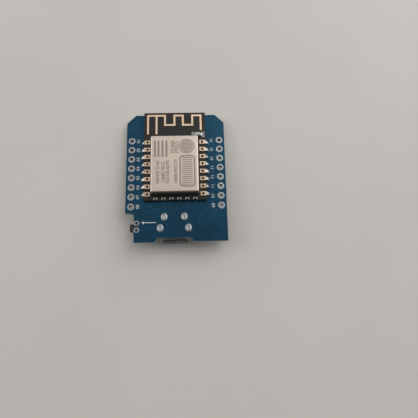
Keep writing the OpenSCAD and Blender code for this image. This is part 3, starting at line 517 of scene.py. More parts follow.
def make_piece(name: str, bm: Bm, finish: Finish, body: Body = Body.BOARD) -> bpy.types.Object:
    """Turns a bmesh into an object at the origin that rides on a body.

    Args:
        name: Name of the piece.
        bm: Its mesh, in metres, which is freed.
        finish: Its material.
        body: The CAD body that it rides on.

    Returns:
        The new object.
    """
    for face in bm.faces:
        face.smooth = True
    for edge in bm.edges:
        edge.smooth = edge.calc_face_angle(math.pi) < math.radians(SHARP_DEG)
    mesh = bpy.data.meshes.new(name)
    bm.to_mesh(mesh)
    bm.free()
    mesh.materials.append(finish.build())
    piece = add_object(name, mesh)
    level = piece.modifiers.new("broad faces stay flat", "WEIGHTED_NORMAL")
    level.keep_sharp = True
    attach(piece, body.value)
    LOG.info("%s: %d faces", name, len(mesh.polygons))
    return piece


def to_metres(bm: Bm) -> Bm:
    """Scales a mesh that was drawn in millimetres to metres, with its faces turned outwards.

    Args:
        bm: The mesh, in millimetres.

    Returns:
        The same mesh.
    """
    bmesh.ops.recalc_face_normals(bm, faces=bm.faces)
    bmesh.ops.scale(bm, vec=(MM, MM, MM), verts=bm.verts)
    return bm


def dress_node(node: str) -> None:
    """Gives a CAD node the finish of its own material slot.

    Args:
        node: Name of the CAD node.
    """
    mesh = frame["nodes"][node].data
    mesh.materials.clear()
    mesh.materials.append(SLOT_FINISHES[NODE_SLOTS[node]].build())
    LOG.info("%s: CAD shape", node)


@dataclass(frozen=True)
class SoftenedNode:
    """A CAD node copied with its real edges rounded a little, as plating and moulding leave them."""

    node: str
    edge_mm: float
    segments: int = 2
    body: Body = Body.BOARD

    def build(self) -> bpy.types.Object:
        """Rounds the copy's edges and shows it in place of the node.

        Returns:
            The new piece.
        """
        bm = merged_copy(self.node)
        bmesh.ops.dissolve_limit(bm, angle_limit=math.radians(FLAT_DEG), verts=bm.verts, edges=bm.edges)
        sharp = [edge for edge in bm.edges if edge.calc_face_angle(0.0) > math.radians(SHARP_DEG)]
        bmesh.ops.bevel(bm, geom=sharp, offset=self.edge_mm * MM, segments=self.segments,
                        clamp_overlap=True, **ROUND_EDGES)
        slot = NODE_SLOTS[self.node]
        piece = make_piece(f"dressed_{self.node}", bm, SLOT_FINISHES[slot], self.body)
        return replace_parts(piece, self.node)


def soften(edges: Edges) -> None:
    """Shows CAD nodes with their edges rounded, each by its own millimetres."""
    for node, edge_mm in edges:
        SoftenedNode(node, edge_mm).build()


def routed(stops: Sequence[Point]) -> list[Point]:
    """Joins stops as board tracks run: straight, slanted at 45 degrees in the middle, and straight again.

    Args:
        stops: The places that the track goes through.

    Returns:
        The track's corners.
    """
    path = [stops[0]]
    for (x0, y0), (x1, y1) in zip(stops, stops[1:]):
        dx, dy = x1 - x0, y1 - y0
        slant = min(abs(dx), abs(dy))
        lead = (max(abs(dx), abs(dy)) - slant) / 2
        if slant > LEAST_STEP and lead > LEAST_STEP:
            step_x = math.copysign(lead, dx) if abs(dx) > abs(dy) else 0.0
            step_y = 0.0 if abs(dx) > abs(dy) else math.copysign(lead, dy)
            path += [(x0 + step_x, y0 + step_y), (x1 - step_x, y1 - step_y)]
        path.append((x1, y1))
    return path


def arc(centre: Point, radius: float, turns: Iterable[int]) -> list[Point]:
    """Returns the points of a circle that lie in these directions, in degrees."""
    angles = [math.radians(turn) for turn in turns]
    return [(centre[0] + radius * math.cos(angle), centre[1] + radius * math.sin(angle)) for angle in angles]


def thicken(bm: Bm, faces: Sequence[bmesh.types.BMFace], rise: Vector) -> None:
    """Makes closed solids of flat faces, which stand up by a distance in some direction."""
    grown = bmesh.ops.extrude_face_region(bm, geom=faces)["geom"]
    bmesh.ops.translate(bm, vec=rise, verts=[item for item in grown if isinstance(item, bmesh.types.BMVert)])


def add_track(bm: Bm, path: Sequence[Point], width: float, floor: float, height: float) -> None:
    """Extrudes one flat track along an open or closed path, mitred at its corners, and thickens it.

    Args:
        bm: The mesh that gets the track, in millimetres.
        path: The track's corners.
        width: Its width.
        floor: Height of the face that it lies on.
        height: How far it stands up from that face, or down where negative.
    """
    points = [Vector((x, y, floor)) for x, y in path]
    steps = [(b - a).normalized() for a, b in zip(points, points[1:])]
    closed = (points[-1] - points[0]).length < SEAM_MM
    edge, side, faces = None, None, []
    for i, point in enumerate(points):
        before = steps[i - 1] if i or closed else steps[0]
        after = steps[i % len(steps)] if i < len(steps) or closed else steps[-1]
        across = (before + after).normalized().cross(UP)
        across *= width / 2 / max(MITRE_SHARE, across.dot(before.cross(UP)))
        if edge is None:
            side = bm.verts.new(point - across)
            edge = bm.edges.new([side, bm.verts.new(point + across)])
            continue
        grown = bmesh.ops.extrude_edge_only(bm, edges=[edge])["geom"]
        faces += [item for item in grown if isinstance(item, bmesh.types.BMFace)]
        edge = next(item for item in grown if isinstance(item, bmesh.types.BMEdge))
        start = side.co.copy()
        side = min(edge.verts, key=lambda vert: (vert.co - start).length)
        side.co = point - across
        edge.other_vert(side).co = point + across
    thicken(bm, faces, height * UP)


def add_disc(bm: Bm, centre: Vector, radius: float, profile: Iterable[Point], sides: int,
             squeeze: float = 1.0) -> None:
    """Raises a round or oval mound ring by ring from a flat disc.

    Args:
        bm: The mesh that gets the mound, in millimetres.
        centre: Middle of the disc.
        radius: Its radius along Y.
        profile: Inset and rise of each next ring.
        sides: Number of sides.
        squeeze: Share of the radius that it has along X.
    """
    shape = Matrix.Translation(centre) @ Matrix.Diagonal((squeeze, 1, 1, 1))
    made = bmesh.ops.create_circle(bm, cap_ends=True, segments=sides, radius=radius, matrix=shape)
    top = made["verts"][0].link_faces[0]
    for inset, rise in profile:
        if inset:
            bmesh.ops.inset_region(bm, faces=[top], thickness=inset, use_even_offset=False)
        else:
            grown = bmesh.ops.extrude_face_region(bm, geom=[top])["geom"]
            top = next(item for item in grown if isinstance(item, bmesh.types.BMFace))
        bmesh.ops.translate(bm, vec=rise * UP, verts=top.verts)


def add_numeral(bm: Bm, text: str, size: float, place: Matrix, thickness: float, bold: float = 0.0) -> None:
    """Sets plain digits as thin solid shapes.

    Args:
        bm: The mesh that gets them, in millimetres.
        text: The digits.
        size: Height of a line of digits.
        place: Where they go and which way they face.
        thickness: How far they stand up.
        bold: How far their strokes are widened on each side.
    """
    curve = bpy.data.curves.new("digits", "FONT")
    curve.body = text
    curve.size = size
    curve.align_x = "CENTER"
    curve.align_y = "CENTER"
    curve.resolution_u = CURVE_STEPS
    curve.offset = bold
    holder = add_object("digits", curve)
    mesh = bpy.data.meshes.new_from_object(holder.evaluated_get(bpy.context.evaluated_depsgraph_get()))
    mesh.transform(place)
    known = len(bm.faces)
    bm.from_mesh(mesh)
    bm.faces.ensure_lookup_table()
    thicken(bm, bm.faces[known:], place.to_3x3() @ UP * thickness)
    bpy.data.objects.remove(holder)
    bpy.data.curves.remove(curve)
    bpy.data.meshes.remove(mesh)


def facing(spot: Point, height: float, side: Face, turn: float) -> Matrix:
    """Returns the placement of something flat on one face of the board, turned on it by some degrees."""
    flip = Matrix.Identity(4) if side is Face.TOP else Matrix.Rotation(math.pi, 4, "Y")
    return Matrix.Translation((*spot, height)) @ flip @ Matrix.Rotation(math.radians(turn), 4, "Z")


@dataclass
class CarrierBoard:
    """The blue carrier with its plated holes, tracks under the mask, vias and legend."""

    rows: float = 11.43
    first: float = 8.89
    pitch: float = 2.54
    count: int = 8
    edges: Edges = (("header_plating", 0.02), ("switch_peg_rings", 0.02))
    hole_r: float = 0.5
    barrel_l: float = 1.28
    barrel_sides: int = 32
    plating: float = 0.03
    track_h: float = 0.015
    track_w: float = 0.25
    supply_w: float = 0.6
    sunk: float = 0.005
    # Module pads that header rings of the same number run to
    fan_count: int = 5
    fan_x: Point = (-8.9, 8.55)
    fan_y: float = 8.05
    fan_pitch: float = 2.0
    # Top tracks from header rings and the switch to vias near the socket
    top_runs: Runs = (
        ((-RING_X, -8.89), (-5.4, -10.4)), ((-RING_X, -6.35), (-8.6, -8.0), (-4.6, -9.6)),
        ((RING_X, -8.89), (9.6, -8.89), (7.2, -14.4)), ((RING_X, -6.35), (8.6, -8.0), (5.6, -13.2)),
        ((RING_X, -3.81), (9.2, -5.6)), ((-9.2, -14.9), (-6.0, -14.3)))
    # Thin tracks on the underside between the chip, the crystal, resistors and header rings
    under_runs: Runs = (
        ((-1.6, -1.3), (-1.905, -2.4)), ((-3.5, -0.8), (-3.175, -2.4)), ((1.6, -1.3), (1.905, -2.4)),
        ((3.5, -0.8), (3.175, -2.4)), ((-1.17, -10.0), (-0.635, -8.8)), ((-0.52, -10.0), (0.635, -8.8)),
        ((-4.445, -2.4), (-5.3, 0.3), (-4.6, 2.8)),
        ((4.445, -2.4), (5.3, 0.3), (7.4, 2.8), (RING_X, 1.27)),
        ((-2.3, 4.6), (-4.5, 7.4), (-RING_X, 8.89)), ((0.0, 4.6), (-2.4, 8.4), (-7.8, 8.4)),
        ((2.3, 4.6), (4.2, 6.35), (RING_X, 6.35)), ((4.6, 4.6), (6.0, 5.4), (RING_X, 3.81)),
        ((-4.6, 4.6), (-6.6, 6.15)), ((-8.6, 6.15), (-RING_X, 6.35)), ((-8.6, 2.95), (-RING_X, 3.81)),
        ((-6.6, 2.95), (-6.2, 1.3), (-6.6, -0.25)), ((-8.6, -0.25), (-RING_X, -1.27)),
        ((-9.1, -3.45), (-RING_X, -3.81)), ((-9.1, -6.65), (-RING_X, -6.35)),
        ((-8.6, -9.85), (-RING_X, -8.89)), ((-6.6, -9.85), (-4.445, -8.8)),
        ((8.6, 0.2), (RING_X, -1.27)), ((8.6, -3.0), (RING_X, -3.81)))
    # Wide tracks on the underside, from the socket through the fuse and the regulator
    supply_runs: Runs = (
        ((0.9, -9.75), (6.4, -9.4)), ((8.9, -9.4), (9.4, -8.4), (8.2, -7.8)), ((7.6, -4.3), (6.4, -3.1)),
        ((6.3, -15.8), (4.9, -13.8), (6.0, -11.7)), ((8.9, -15.8), (10.2, -13.0), (10.8, -9.7)))
    # Vias that stitch the ground copper of the two faces, as each face shows them
    top_vias: tuple[Point, ...] = (
        (-3.0, -16.6), (3.4, -16.9), (6.6, -16.6), (9.6, -16.4), (11.6, -14.0), (11.6, -11.6), (9.4, -12.2),
        (-6.4, -16.2), (-6.9, -8.8), (10.9, 12.0), (-11.0, 12.0), (10.2, 14.0), (-10.2, 14.0), (0.4, -9.4))
    under_vias: tuple[Point, ...] = (
        (-7.8, 8.4), (-5.6, -13.2), (9.6, 8.6), (-9.4, 11.6), (9.2, 11.6), (3.0, 10.4), (-3.4, 10.4),
        (0.0, 12.6), (6.2, 13.4), (-6.2, 13.4), (-5.6, -16.6), (11.4, -16.4), (11.4, -12.2))
    via_r: float = 0.3
    via_sides: int = 16
    via_profile: Profile = ((0.0, 0.03), (0.12, 0.0), (0.06, -0.008))
    ink_h: float = 0.03
    digit_h: float = 1.15
    digit_x: Point = (-9.7, 9.3)
    arrow_w: float = 0.16
    arrow_path: Profile = ((-5.0, -13.0), (-8.2, -13.0))
    arrow_tip: Point = (-8.3, -13.0)
    arrow_r: float = 0.42
    arrow_sides: int = 3
    outline_w: float = 0.15
    # Parts of the underside with a printed frame, and its margins along X and Y
    outlines: tuple[tuple[str, float, float], ...] = (
        ("serial_chip", 0.4, -0.25), ("clock_crystal_base", 0.75, 0.75), ("fuse_body", 0.75, 0.75),
        ("regulator", 0.95, 0.95))
    switch_corner: Profile = ((-7.4, -17.2), (-7.4, -10.9), (-10.2, -10.9))

    def build(self) -> None:
        """Makes the board, its metal and what is printed on it."""
        dress_node("carrier_board")
        soften(self.edges)
        self.build_barrels()
        self.build_tracks()
        self.build_vias()
        self.build_legend()

    def build_barrels(self) -> None:
        """Lines each header hole with its plating."""
        bm = bmesh.new()
        for side in (-1, 1):
            for i in range(self.count):
                spot = Matrix.Translation((side * self.rows, self.first - i * self.pitch, BOARD_TOP / 2))
                bmesh.ops.create_cone(bm, cap_ends=False, segments=self.barrel_sides, radius1=self.hole_r,
                                      radius2=self.hole_r, depth=self.barrel_l, matrix=spot)
        bmesh.ops.recalc_face_normals(bm, faces=bm.faces)
        bmesh.ops.solidify(bm, geom=bm.faces, thickness=self.plating)
        # The barrels carry the darkened tin: painted shade inside the holes
        make_piece("header_hole_barrels", to_metres(bm), HOLE_TIN_PAINTED_SHADE)

    def foot(self, face: Face) -> float:
        """Returns the height from which copper rises, a little under one of the board's faces."""
        return BOARD_TOP - self.sunk if face is Face.TOP else self.sunk

    def build_tracks(self) -> None:
        """Raises the copper that shows through the mask on both faces."""
        bm = bmesh.new()
        fan = tuple(
            ((side * RING_X, self.first - i * self.pitch), (pad_x, self.fan_y - i * self.fan_pitch))
            for side, pad_x in zip((-1, 1), self.fan_x) for i in range(self.fan_count))
        rise = self.track_h + self.sunk
        for runs, width, face in (
                (fan + self.top_runs, self.track_w, Face.TOP),
                (self.under_runs, self.track_w, Face.UNDER),
                (self.supply_runs, self.supply_w, Face.UNDER)):
            for stops in runs:
                add_track(bm, routed(stops), width, self.foot(face), face.value * rise)
        make_piece("masked_tracks", to_metres(bm), BLUE_TRACK)

    def build_vias(self) -> None:
        """Puts a dimpled via at the free ends of top tracks, and at each stitch between the two faces."""
        bm = bmesh.new()
        ends = tuple(stops[-1] for stops in self.top_runs)
        for spots, face in ((ends + self.top_vias, Face.TOP), (self.under_vias, Face.UNDER)):
            profile = [(inset, face.value * rise) for inset, rise in self.via_profile]
            for x, y in spots:
                add_disc(bm, Vector((x, y, self.foot(face))), self.via_r, profile, self.via_sides)
        make_piece("tented_vias", to_metres(bm), BLUE_TRACK)

    def build_legend(self) -> None:
        """Prints plain pin numbers, part outlines and an arrow to the button."""
        bm = bmesh.new()
        for side, digit_x in zip((-1, 1), self.digit_x):
            for i in range(self.count):
                number = f"{i + 1 if side < 0 else 2 * self.count - i:02d}"
                spot = (digit_x, self.first - i * self.pitch)
                for face, height in ((Face.TOP, BOARD_TOP), (Face.UNDER, 0.0)):
                    place = facing(spot, height, face, -QUARTER_DEG * side * face.value)
                    add_numeral(bm, number, self.digit_h, place, self.ink_h)
        self.print_lines(bm)
        make_piece("legend", to_metres(bm), WHITE_INK)

    def print_lines(self, bm: Bm) -> None:
        """Prints an arrow to the button on the top face, and frames round larger parts of the underside.

        Args:
            bm: The legend's mesh.
        """
        add_track(bm, self.arrow_path, self.arrow_w, BOARD_TOP, self.ink_h)
        tip = Matrix.Translation((*self.arrow_tip, BOARD_TOP + self.ink_h / 2))
        turn = Matrix.Rotation(math.pi, 4, "Z")
        bmesh.ops.create_cone(bm, cap_ends=True, segments=self.arrow_sides, radius1=self.arrow_r,
                              radius2=self.arrow_r, depth=self.ink_h, matrix=tip @ turn)
        for node, margin_x, margin_y in self.outlines:
            low, high = box_mm(node)
            x0, x1 = low.x - margin_x, high.x + margin_x
            y0, y1 = low.y - margin_y, high.y + margin_y
            path = [(x0, y0), (x1, y0), (x1, y1), (x0, y1), (x0, y0)]
            add_track(bm, path, self.outline_w, 0.0, -self.ink_h)
        add_track(bm, self.switch_corner, self.outline_w, 0.0, -self.ink_h)


@dataclass
class RadioModule:
    """The black module with its antenna, castellated pads, solder, light and shield can."""

    pads: SoftenedNode = SoftenedNode("module_castellations", 0.015, 1)
    edges: Edges = (
        ("antenna_trace", 0.015), ("shield_can", 0.04), ("status_led_base", 0.04), ("status_led_lens", 0.04),
        ("status_led_terminals", 0.04))
    # Parts sealed under the can, which keep their CAD shapes
    sealed: tuple[str, ...] = (
        "radio_chip", "flash_chip", "flash_leads", "module_crystal_base", "module_crystal_lid",
        "module_chip_bodies", "module_chip_terminals")
    bead_rise: float = 0.98
    bead_width: float = 0.84
    bead_back: float = 0.28
    bead_share: float = 0.62
    # Shares of a bead's own size: its rounding, its fall and narrowing towards the toe, and its spread foot
    bead_round: float = 0.26
    bead_steps: int = 4
    bead_fall: float = 0.6
    bead_narrow: float = 0.12
    bead_sink: float = 0.02
    bead_flare: float = 0.18
    bead_flare_power: int = 3
    bead_rings: tuple[float, ...] = (0.1, -0.1, -0.25, -0.4)
    # No two beads are alike: how much their sizes vary, how fast along the row, and how far they creep back
    bead_uneven: float = 0.08
    bead_beat: float = 2.3
    bead_creep: float = 6.0
    # Marks on the can, from its middle
    etch_h: float = 0.01
    digit_h: float = 1.15
    digit_bold: float = 0.035
    digit_rows: tuple[tuple[float, float, str], ...] = (
        (0.2, -2.2, "01235678901"), (-1.8, -2.3, "5678 901235"), (-2.9, -2.3, "2356 78901"),
        (-4.3, -2.3, "9012 356789"), (0.5, 4.3, "123567"), (-0.5, 4.3, "890123"))
    bar_x: tuple[float, ...] = (-2.0, -3.0, -4.0, -4.9)
    bar_y: Point = (1.7, 6.1)
    bar_w: float = 0.48
    frame_at: Point = (3.2, -2.1)
    frame_half: Point = (1.8, 4.0)
    frame_round: float = 0.8
    frame_step: int = 15
    frame_line: float = 0.36
    frame_margin: float = 0.5
    frame_pitch: float = 0.5
    disc_at: Point = (3.1, 4.5)
    disc_r: float = 1.85
    disc_step: int = 10
    disc_pitch: float = 0.36
    shade_line: float = 0.24
    # Brackets printed at the ends of the light
    mark_line: float = 0.12
    mark_h: float = 0.02
    mark_end: float = 0.75
    mark_side: float = 0.22
    mark_stub: float = 0.6

    def build(self) -> None:
        """Makes the module's pieces."""
        dress_node("module_board")
        self.pads.build()
        soften(self.edges)
        self.build_beads()
        self.print_marks()
        self.build_etching()
        for name in self.sealed:
            dress_node(name)

    def build_beads(self) -> None:
        """Swells a solder bead out of each side pad's half hole, and a fillet at each end of the light."""
        bm = bmesh.new()
        low, high = box_mm("module_board")
        light = sum(corner.x for corner in box_mm("status_led_base")) / 2
        for near, far in solid_boxes("module_solder"):
            middle = (near + far) / 2
            if near.z > low.z:
                out = math.copysign(1.0, middle.x - light)
                foot = Vector((near.x if out > 0 else far.x, middle.y, near.z))
                self.add_bead(bm, foot, out, far - near)
                continue
            out = math.copysign(1.0, middle.x - (low.x + high.x) / 2)
            edge, toe = (high.x, far.x) if out > 0 else (low.x, near.x)
            uneven = self.bead_uneven * math.sin(self.bead_beat * middle.y + out)
            back = self.bead_back * (1.0 + self.bead_creep * uneven)
            reach = abs(toe - edge) * self.bead_share * (1.0 + uneven) + back
            foot = Vector((edge - out * back, middle.y, near.z))
            self.add_bead(bm, foot, out, Vector((reach, self.bead_width * (1.0 + uneven), self.bead_rise)))
        piece = make_piece("module_solder_beads", to_metres(bm), SLOT_FINISHES["solder"])
        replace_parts(piece, "module_solder")

    def add_bead(self, bm: Bm, foot: Vector, out: float, size: Vector) -> None:
        """Adds one bead: a rounded pillow that falls and narrows towards its toe and spreads at its foot.

        Args:
            bm: The mesh that gets the bead, in millimetres.
            foot: Middle of its inner end, on the face that it lies on.
            out: One where it runs to +X, and minus one where it runs to -X.
            size: Its length, width and height.
        """
        half = 0.5
        pillow = bmesh.new()
        bmesh.ops.create_cube(pillow, size=2 * half)
        upper = [edge for edge in pillow.edges if any(vert.co.z > 0 for vert in edge.verts)]
        bmesh.ops.bevel(pillow, geom=upper, offset=self.bead_round, segments=self.bead_steps, **ROUND_EDGES)
        for level in self.bead_rings:
            every = pillow.verts[:] + pillow.edges[:] + pillow.faces[:]
            bmesh.ops.bisect_plane(pillow, geom=every, plane_co=level * UP, plane_no=UP)
        for vert in pillow.verts:
            spread = 1.0 + self.bead_flare * (half - vert.co.z) ** self.bead_flare_power
            along = (vert.co.x + half) * spread
            width = vert.co.y * spread * (1.0 - self.bead_narrow * along * along)
            rise = (vert.co.z + half) * (1.0 - self.bead_fall * along) - self.bead_sink
            vert.co = (along * out, width, rise)
        bmesh.ops.scale(pillow, vec=size, verts=pillow.verts)
        bmesh.ops.translate(pillow, vec=foot, verts=pillow.verts)
        shape = bpy.data.meshes.new("pillow")
        pillow.to_mesh(shape)
        pillow.free()
        bm.from_mesh(shape)
        bpy.data.meshes.remove(shape)

    def build_etching(self) -> None:
        """Marks the middle of the can's top with plain digits, bars, a shaded disc and a shaded frame."""
        low, high = box_mm("shield_can")
        bm = bmesh.new()
        self.etch_frame(bm)
        self.etch_disc(bm)
        for x, y, digits in self.digit_rows:
            place = facing((x, y), 0.0, Face.TOP, -QUARTER_DEG)
            add_numeral(bm, digits, self.digit_h, place, self.etch_h, self.digit_bold)
        for x in self.bar_x:
            add_track(bm, [(x, y) for y in self.bar_y], self.bar_w, 0.0, self.etch_h)
        bmesh.ops.translate(bm, vec=((low.x + high.x) / 2, (low.y + high.y) / 2, high.z), verts=bm.verts)
        make_piece("can_laser_marks", to_metres(bm), CAN_ETCH)

    def etch_frame(self, bm: Bm) -> None:
        """Draws an upright frame with round corners and shades its inside.

        Args:
            bm: The marks' mesh, with the can's middle at the origin.
        """
        (x, y), (half_x, half_y) = self.frame_at, self.frame_half
        in_x, in_y = half_x - self.frame_round, half_y - self.frame_round
        path = []
        for i, (side_x, side_y) in enumerate(((1, 1), (-1, 1), (-1, -1), (1, -1))):
            turns = range(i * QUARTER_DEG, (i + 1) * QUARTER_DEG + 1, self.frame_step)
            path += arc((x + side_x * in_x, y + side_y * in_y), self.frame_round, turns)
        add_track(bm, [*path, path[0]], self.frame_line, 0.0, self.etch_h)
        inner = half_x - self.frame_margin
        self.shade_area(bm, self.frame_at, half_y - self.frame_margin, self.frame_pitch, lambda rise: inner)

    def etch_disc(self, bm: Bm) -> None:
        """Draws a ring and shades its inside.

        Args:
            bm: The marks' mesh, with the can's middle at the origin.
        """
        path = arc(self.disc_at, self.disc_r, range(0, FULL_DEG + 1, self.disc_step))
        add_track(bm, path, self.shade_line, 0.0, self.etch_h)
        inner = self.disc_r - self.shade_line
        self.shade_area(bm, self.disc_at, inner, self.disc_pitch,
                        lambda rise: math.sqrt(inner * inner - rise * rise))

    def shade_area(self, bm: Bm, middle: Point, half_y: float, pitch: float,
                   half_x: Callable[[float], float]) -> None:
        """Draws the parallel lines by which a laser darkens an area.

        Args:
            bm: The marks' mesh.
            middle: Middle of the area.
            half_y: Half its length across the lines.
            pitch: Distance between lines.
            half_x: Gives half the length of the line at a distance from the middle.
        """
        x, y = middle
        count = int(half_y / pitch)
        for i in range(-count, count + 1):
            rise = i * pitch
            line = [(x + side * half_x(rise), y + rise) for side in (-1, 1)]
            add_track(bm, line, self.shade_line, 0.0, self.etch_h)

    def print_marks(self) -> None:
        """Prints a bracket on the module at each end of the light."""
        bm = bmesh.new()
        low, high = box_mm("status_led_terminals")
        floor = box_mm("module_board")[1].z
        y0, y1 = low.y - self.mark_side, high.y + self.mark_side
        for x, stub in ((low.x - self.mark_end, self.mark_stub), (high.x + self.mark_end, -self.mark_stub)):
            path = [(x + stub, y1), (x, y1), (x, y0), (x + stub, y0)]
            add_track(bm, path, self.mark_line, floor, self.mark_h)
        make_piece("module_legend", to_metres(bm), WHITE_INK)


@dataclass
class DataSocket:
    """The plug socket: folded shell, insulator, contacts and the solder round its tabs."""

    edges: Edges = (("socket_shell", 0.05), ("socket_insulator", 0.05), ("socket_contacts", 0.02))
    pool_sink: float = 0.02
    pool_sides: int = 32
    # Inset and rise of each ring: up over a round rim, and down to the dip where the tab's tip shows
    pool_profile: Profile = (
        (0.0, 0.05), (0.05, 0.06), (0.12, 0.08), (0.14, 0.05), (0.12, 0.0), (0.12, -0.05), (0.1, -0.06),
        (0.1, -0.02))

    def build(self) -> None:
        """Makes the socket, and raises an oval pool of solder round each of its tabs."""
        soften(self.edges)
        bm = bmesh.new()
        for near, far in solid_boxes("socket_tab_solder"):
            size = far - near
            centre = Vector(((near.x + far.x) / 2, (near.y + far.y) / 2, BOARD_TOP - self.pool_sink))
            add_disc(bm, centre, size.y / 2, self.pool_profile, self.pool_sides, size.x / size.y)
        piece = make_piece("socket_tab_pools", to_metres(bm), FROSTED_SOLDER)
        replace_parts(piece, "socket_tab_solder")


@dataclass
class ResetSwitch:
    """The side-press switch: base, cover, terminals, snap dome and the plunger that moves."""

    edges: Edges = (("switch_base", 0.04), ("switch_cover", 0.04), ("switch_terminals", 0.04))
    plunger: SoftenedNode = SoftenedNode("switch_plunger", 0.1, 3, Body.BUTTON)
    dome: SoftenedNode = SoftenedNode("switch_dome", 0.01, 1)
    dome_back_mm: float = -8.05
    dome_keep: float = 0.375

    def build(self) -> None:
        """Makes the switch's pieces, with the dome on a mesh of its own."""
        soften(self.edges)
        self.plunger.build()
        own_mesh(self.dome.build())


@dataclass
class UndersideParts:
    """The chips, crystal, fuse, capacitors and resistors under the carrier, with their marks."""

    edges: Edges = (
        ("serial_chip", 0.06), ("serial_chip_leads", 0.04), ("clock_crystal_base", 0.05),
        ("clock_crystal_lid", 0.08), ("regulator", 0.06), ("regulator_leads", 0.04),
        ("transistor_bodies", 0.06), ("transistor_leads", 0.04), ("fuse_body", 0.03),
        ("fuse_terminals", 0.05), ("capacitor_bodies", 0.05), ("capacitor_terminals", 0.06),
        ("resistor_bodies", 0.03), ("resistor_terminals", 0.05), ("underside_solder", 0.03))
    digit_h: float = 0.5
    ink_h: float = 0.01
    values: tuple[str, ...] = ("103", "472", "104")

    def build(self) -> None:
        """Makes the parts, and prints plain values on the resistors."""
        soften(self.edges)
        bm = bmesh.new()
        for i, (near, far) in enumerate(solid_boxes("resistor_bodies")):
            spot = ((near.x + far.x) / 2, (near.y + far.y) / 2)
            turn = QUARTER_DEG if far.y - near.y > far.x - near.x else 0
            place = facing(spot, near.z, Face.UNDER, turn)
            add_numeral(bm, self.values[i % len(self.values)], self.digit_h, place, self.ink_h)
        make_piece("resistor_values", to_metres(bm), WHITE_INK)


@dataclass(frozen=True)
class Lamp:
    """A square soft lamp that looks at the board, with its place and side in millimetres."""

    name: str
    place: Place
    side: float
    watts: float

    def hang(self) -> None:
        """Puts the lamp in the scene."""
        data = bpy.data.lights.new(self.name, "AREA")
        data.size = self.side * MM
        data.energy = self.watts
        lamp = add_object(self.name, data)
        lamp.location = Vector(self.place) * MM
        lamp.rotation_mode = "QUATERNION"
        lamp.rotation_quaternion = (-Vector(self.place)).to_track_quat("-Z", "Y")


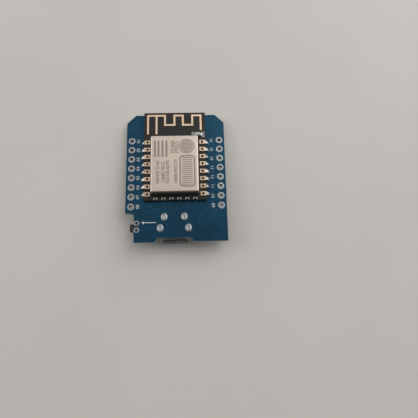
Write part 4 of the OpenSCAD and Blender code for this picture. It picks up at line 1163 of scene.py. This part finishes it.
@dataclass
class Studio:
    """Floor, lamps, surroundings and the camera of the photograph's view."""

    eye: Place = (5.103, -30.202, 87.167)
    right: Place = (0.99913, -0.02967, 0.02928)
    up: Place = (0.02211, 0.97266, 0.23117)
    forward: Place = (0.03533, 0.23032, -0.97247)
    focal_px: float = 350.0
    frame_px: float = 418.0
    sensor: float = 36.0
    # What the camera sees, in metres
    sight: Point = (0.001, 10.0)
    # Where the board touches the floor, along Y and Z: the antenna edge and the socket
    rest_far: Point = (16.25, 0.0)
    rest_near: Point = (-11.28, -2.5)
    floor_half: float = 1500.0
    floor_gap: float = 0.01
    # A large lamp at the right and behind, a weaker one at the left, and one for the underside
    lamps: tuple[Lamp, ...] = (
        Lamp("key_lamp", (210.0, 150.0, 210.0), 320.0, 0.6),
        Lamp("side_lamp", (-260.0, 60.0, 120.0), 160.0, 0.2),
        Lamp("under_lamp", (60.0, -80.0, -300.0), 260.0, 0.6))
    # The light of the surroundings grows with the distance behind the board, and a little less to its sides
    world_colour: str = "#f4f2ef"
    world_side: float = 0.8
    world_span: Point = (0.05, 0.5)
    world_levels: Point = (0.12, 0.97)

    def build(self) -> None:
        """Makes everything that isn't the object."""
        self.build_camera()
        self.build_floor()
        for lamp in self.lamps:
            lamp.hang()
        self.build_world()
        bpy.context.scene.view_settings.view_transform = "Standard"

    def build_camera(self) -> None:
        """Puts the camera where the photograph was taken from."""
        data = bpy.data.cameras.new("camera")
        data.sensor_width = self.sensor
        data.lens = self.sensor * self.focal_px / self.frame_px
        data.clip_start, data.clip_end = self.sight
        camera = add_object("camera", data)
        columns = [Vector(self.right), Vector(self.up), -Vector(self.forward)]
        turn = Matrix(columns).transposed().to_4x4()
        camera.matrix_world = Matrix.Translation(Vector(self.eye) * MM) @ turn
        bpy.context.scene.camera = camera

    def build_floor(self) -> None:
        """Lays the floor under the antenna edge and the socket, on which the board rests tilted."""
        bm = bmesh.new()
        bmesh.ops.create_grid(bm, x_segments=1, y_segments=1, size=self.floor_half)
        (far_y, far_z), (near_y, near_z) = self.rest_far, self.rest_near
        slope = Matrix.Rotation(math.atan2(far_z - near_z, far_y - near_y), 4, "X")
        place = Matrix.Translation((0, far_y, far_z - self.floor_gap)) @ slope
        bmesh.ops.transform(bm, matrix=place, verts=bm.verts)
        bmesh.ops.scale(bm, vec=(MM, MM, MM), verts=bm.verts)
        mesh = bpy.data.meshes.new("floor")
        bm.to_mesh(mesh)
        bm.free()
        mesh.materials.append(self.floor_finish())
        add_object("floor", mesh)

    def floor_finish(self) -> bpy.types.Material:
        """Opens the floor's card from below, so that the underside can be seen and lit.

        Returns:
            The floor's material.
        """
        material = PALE_CARD.build()
        tree = material.node_tree
        card = tree.nodes["Principled BSDF"].outputs["BSDF"]
        back = add_node(tree, "NewGeometry", out="Backfacing")
        lit = add_node(tree, "LightPath", out="Is Shadow Ray")
        either = add_node(tree, "Math", {0: back, 1: lit}, operation="MAXIMUM")
        mix = add_node(tree, "MixShader", {0: either, 1: card, 2: add_node(tree, "BsdfTransparent")})
        tree.links.new(mix, tree.nodes["Material Output"].inputs["Surface"])
        return material

    def build_world(self) -> None:
        """Surrounds the board with pale light that falls off towards the viewer's side."""
        world = bpy.data.worlds.new("studio")
        bpy.context.scene.world = world
        world.use_nodes = True
        tree = world.node_tree
        direction = {"Vector": add_node(tree, "TexCoord", out="Generated")}
        across = add_node(tree, "SeparateXYZ", direction, "X")
        aside = add_node(tree, "Math", {0: across}, operation="ABSOLUTE")
        behind = add_node(tree, "SeparateXYZ", direction, "Y")
        away = add_node(tree, "Math", {0: aside, 1: self.world_side, 2: behind}, operation="MULTIPLY_ADD")
        (near, far), (dim, bright) = self.world_span, self.world_levels
        level = add_node(tree, "MapRange", {
            "Value": away, "From Min": near, "From Max": far, "To Min": dim, "To Max": bright},
            interpolation_type="SMOOTHSTEP")
        backdrop = tree.nodes["Background"].inputs
        backdrop["Color"].default_value = linear(self.world_colour)
        tree.links.new(level, backdrop["Strength"])


def main() -> None:
    """Builds the studio and then each sub-assembly."""
    logging.basicConfig(level=logging.INFO, format="%(name)s: %(message)s")
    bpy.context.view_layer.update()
    for part in (Studio(), CarrierBoard(), RadioModule(), DataSocket(), ResetSwitch(), UndersideParts()):
        part.build()
        LOG.info("%s done", type(part).__name__)


if __name__ == "__main__":
    main()
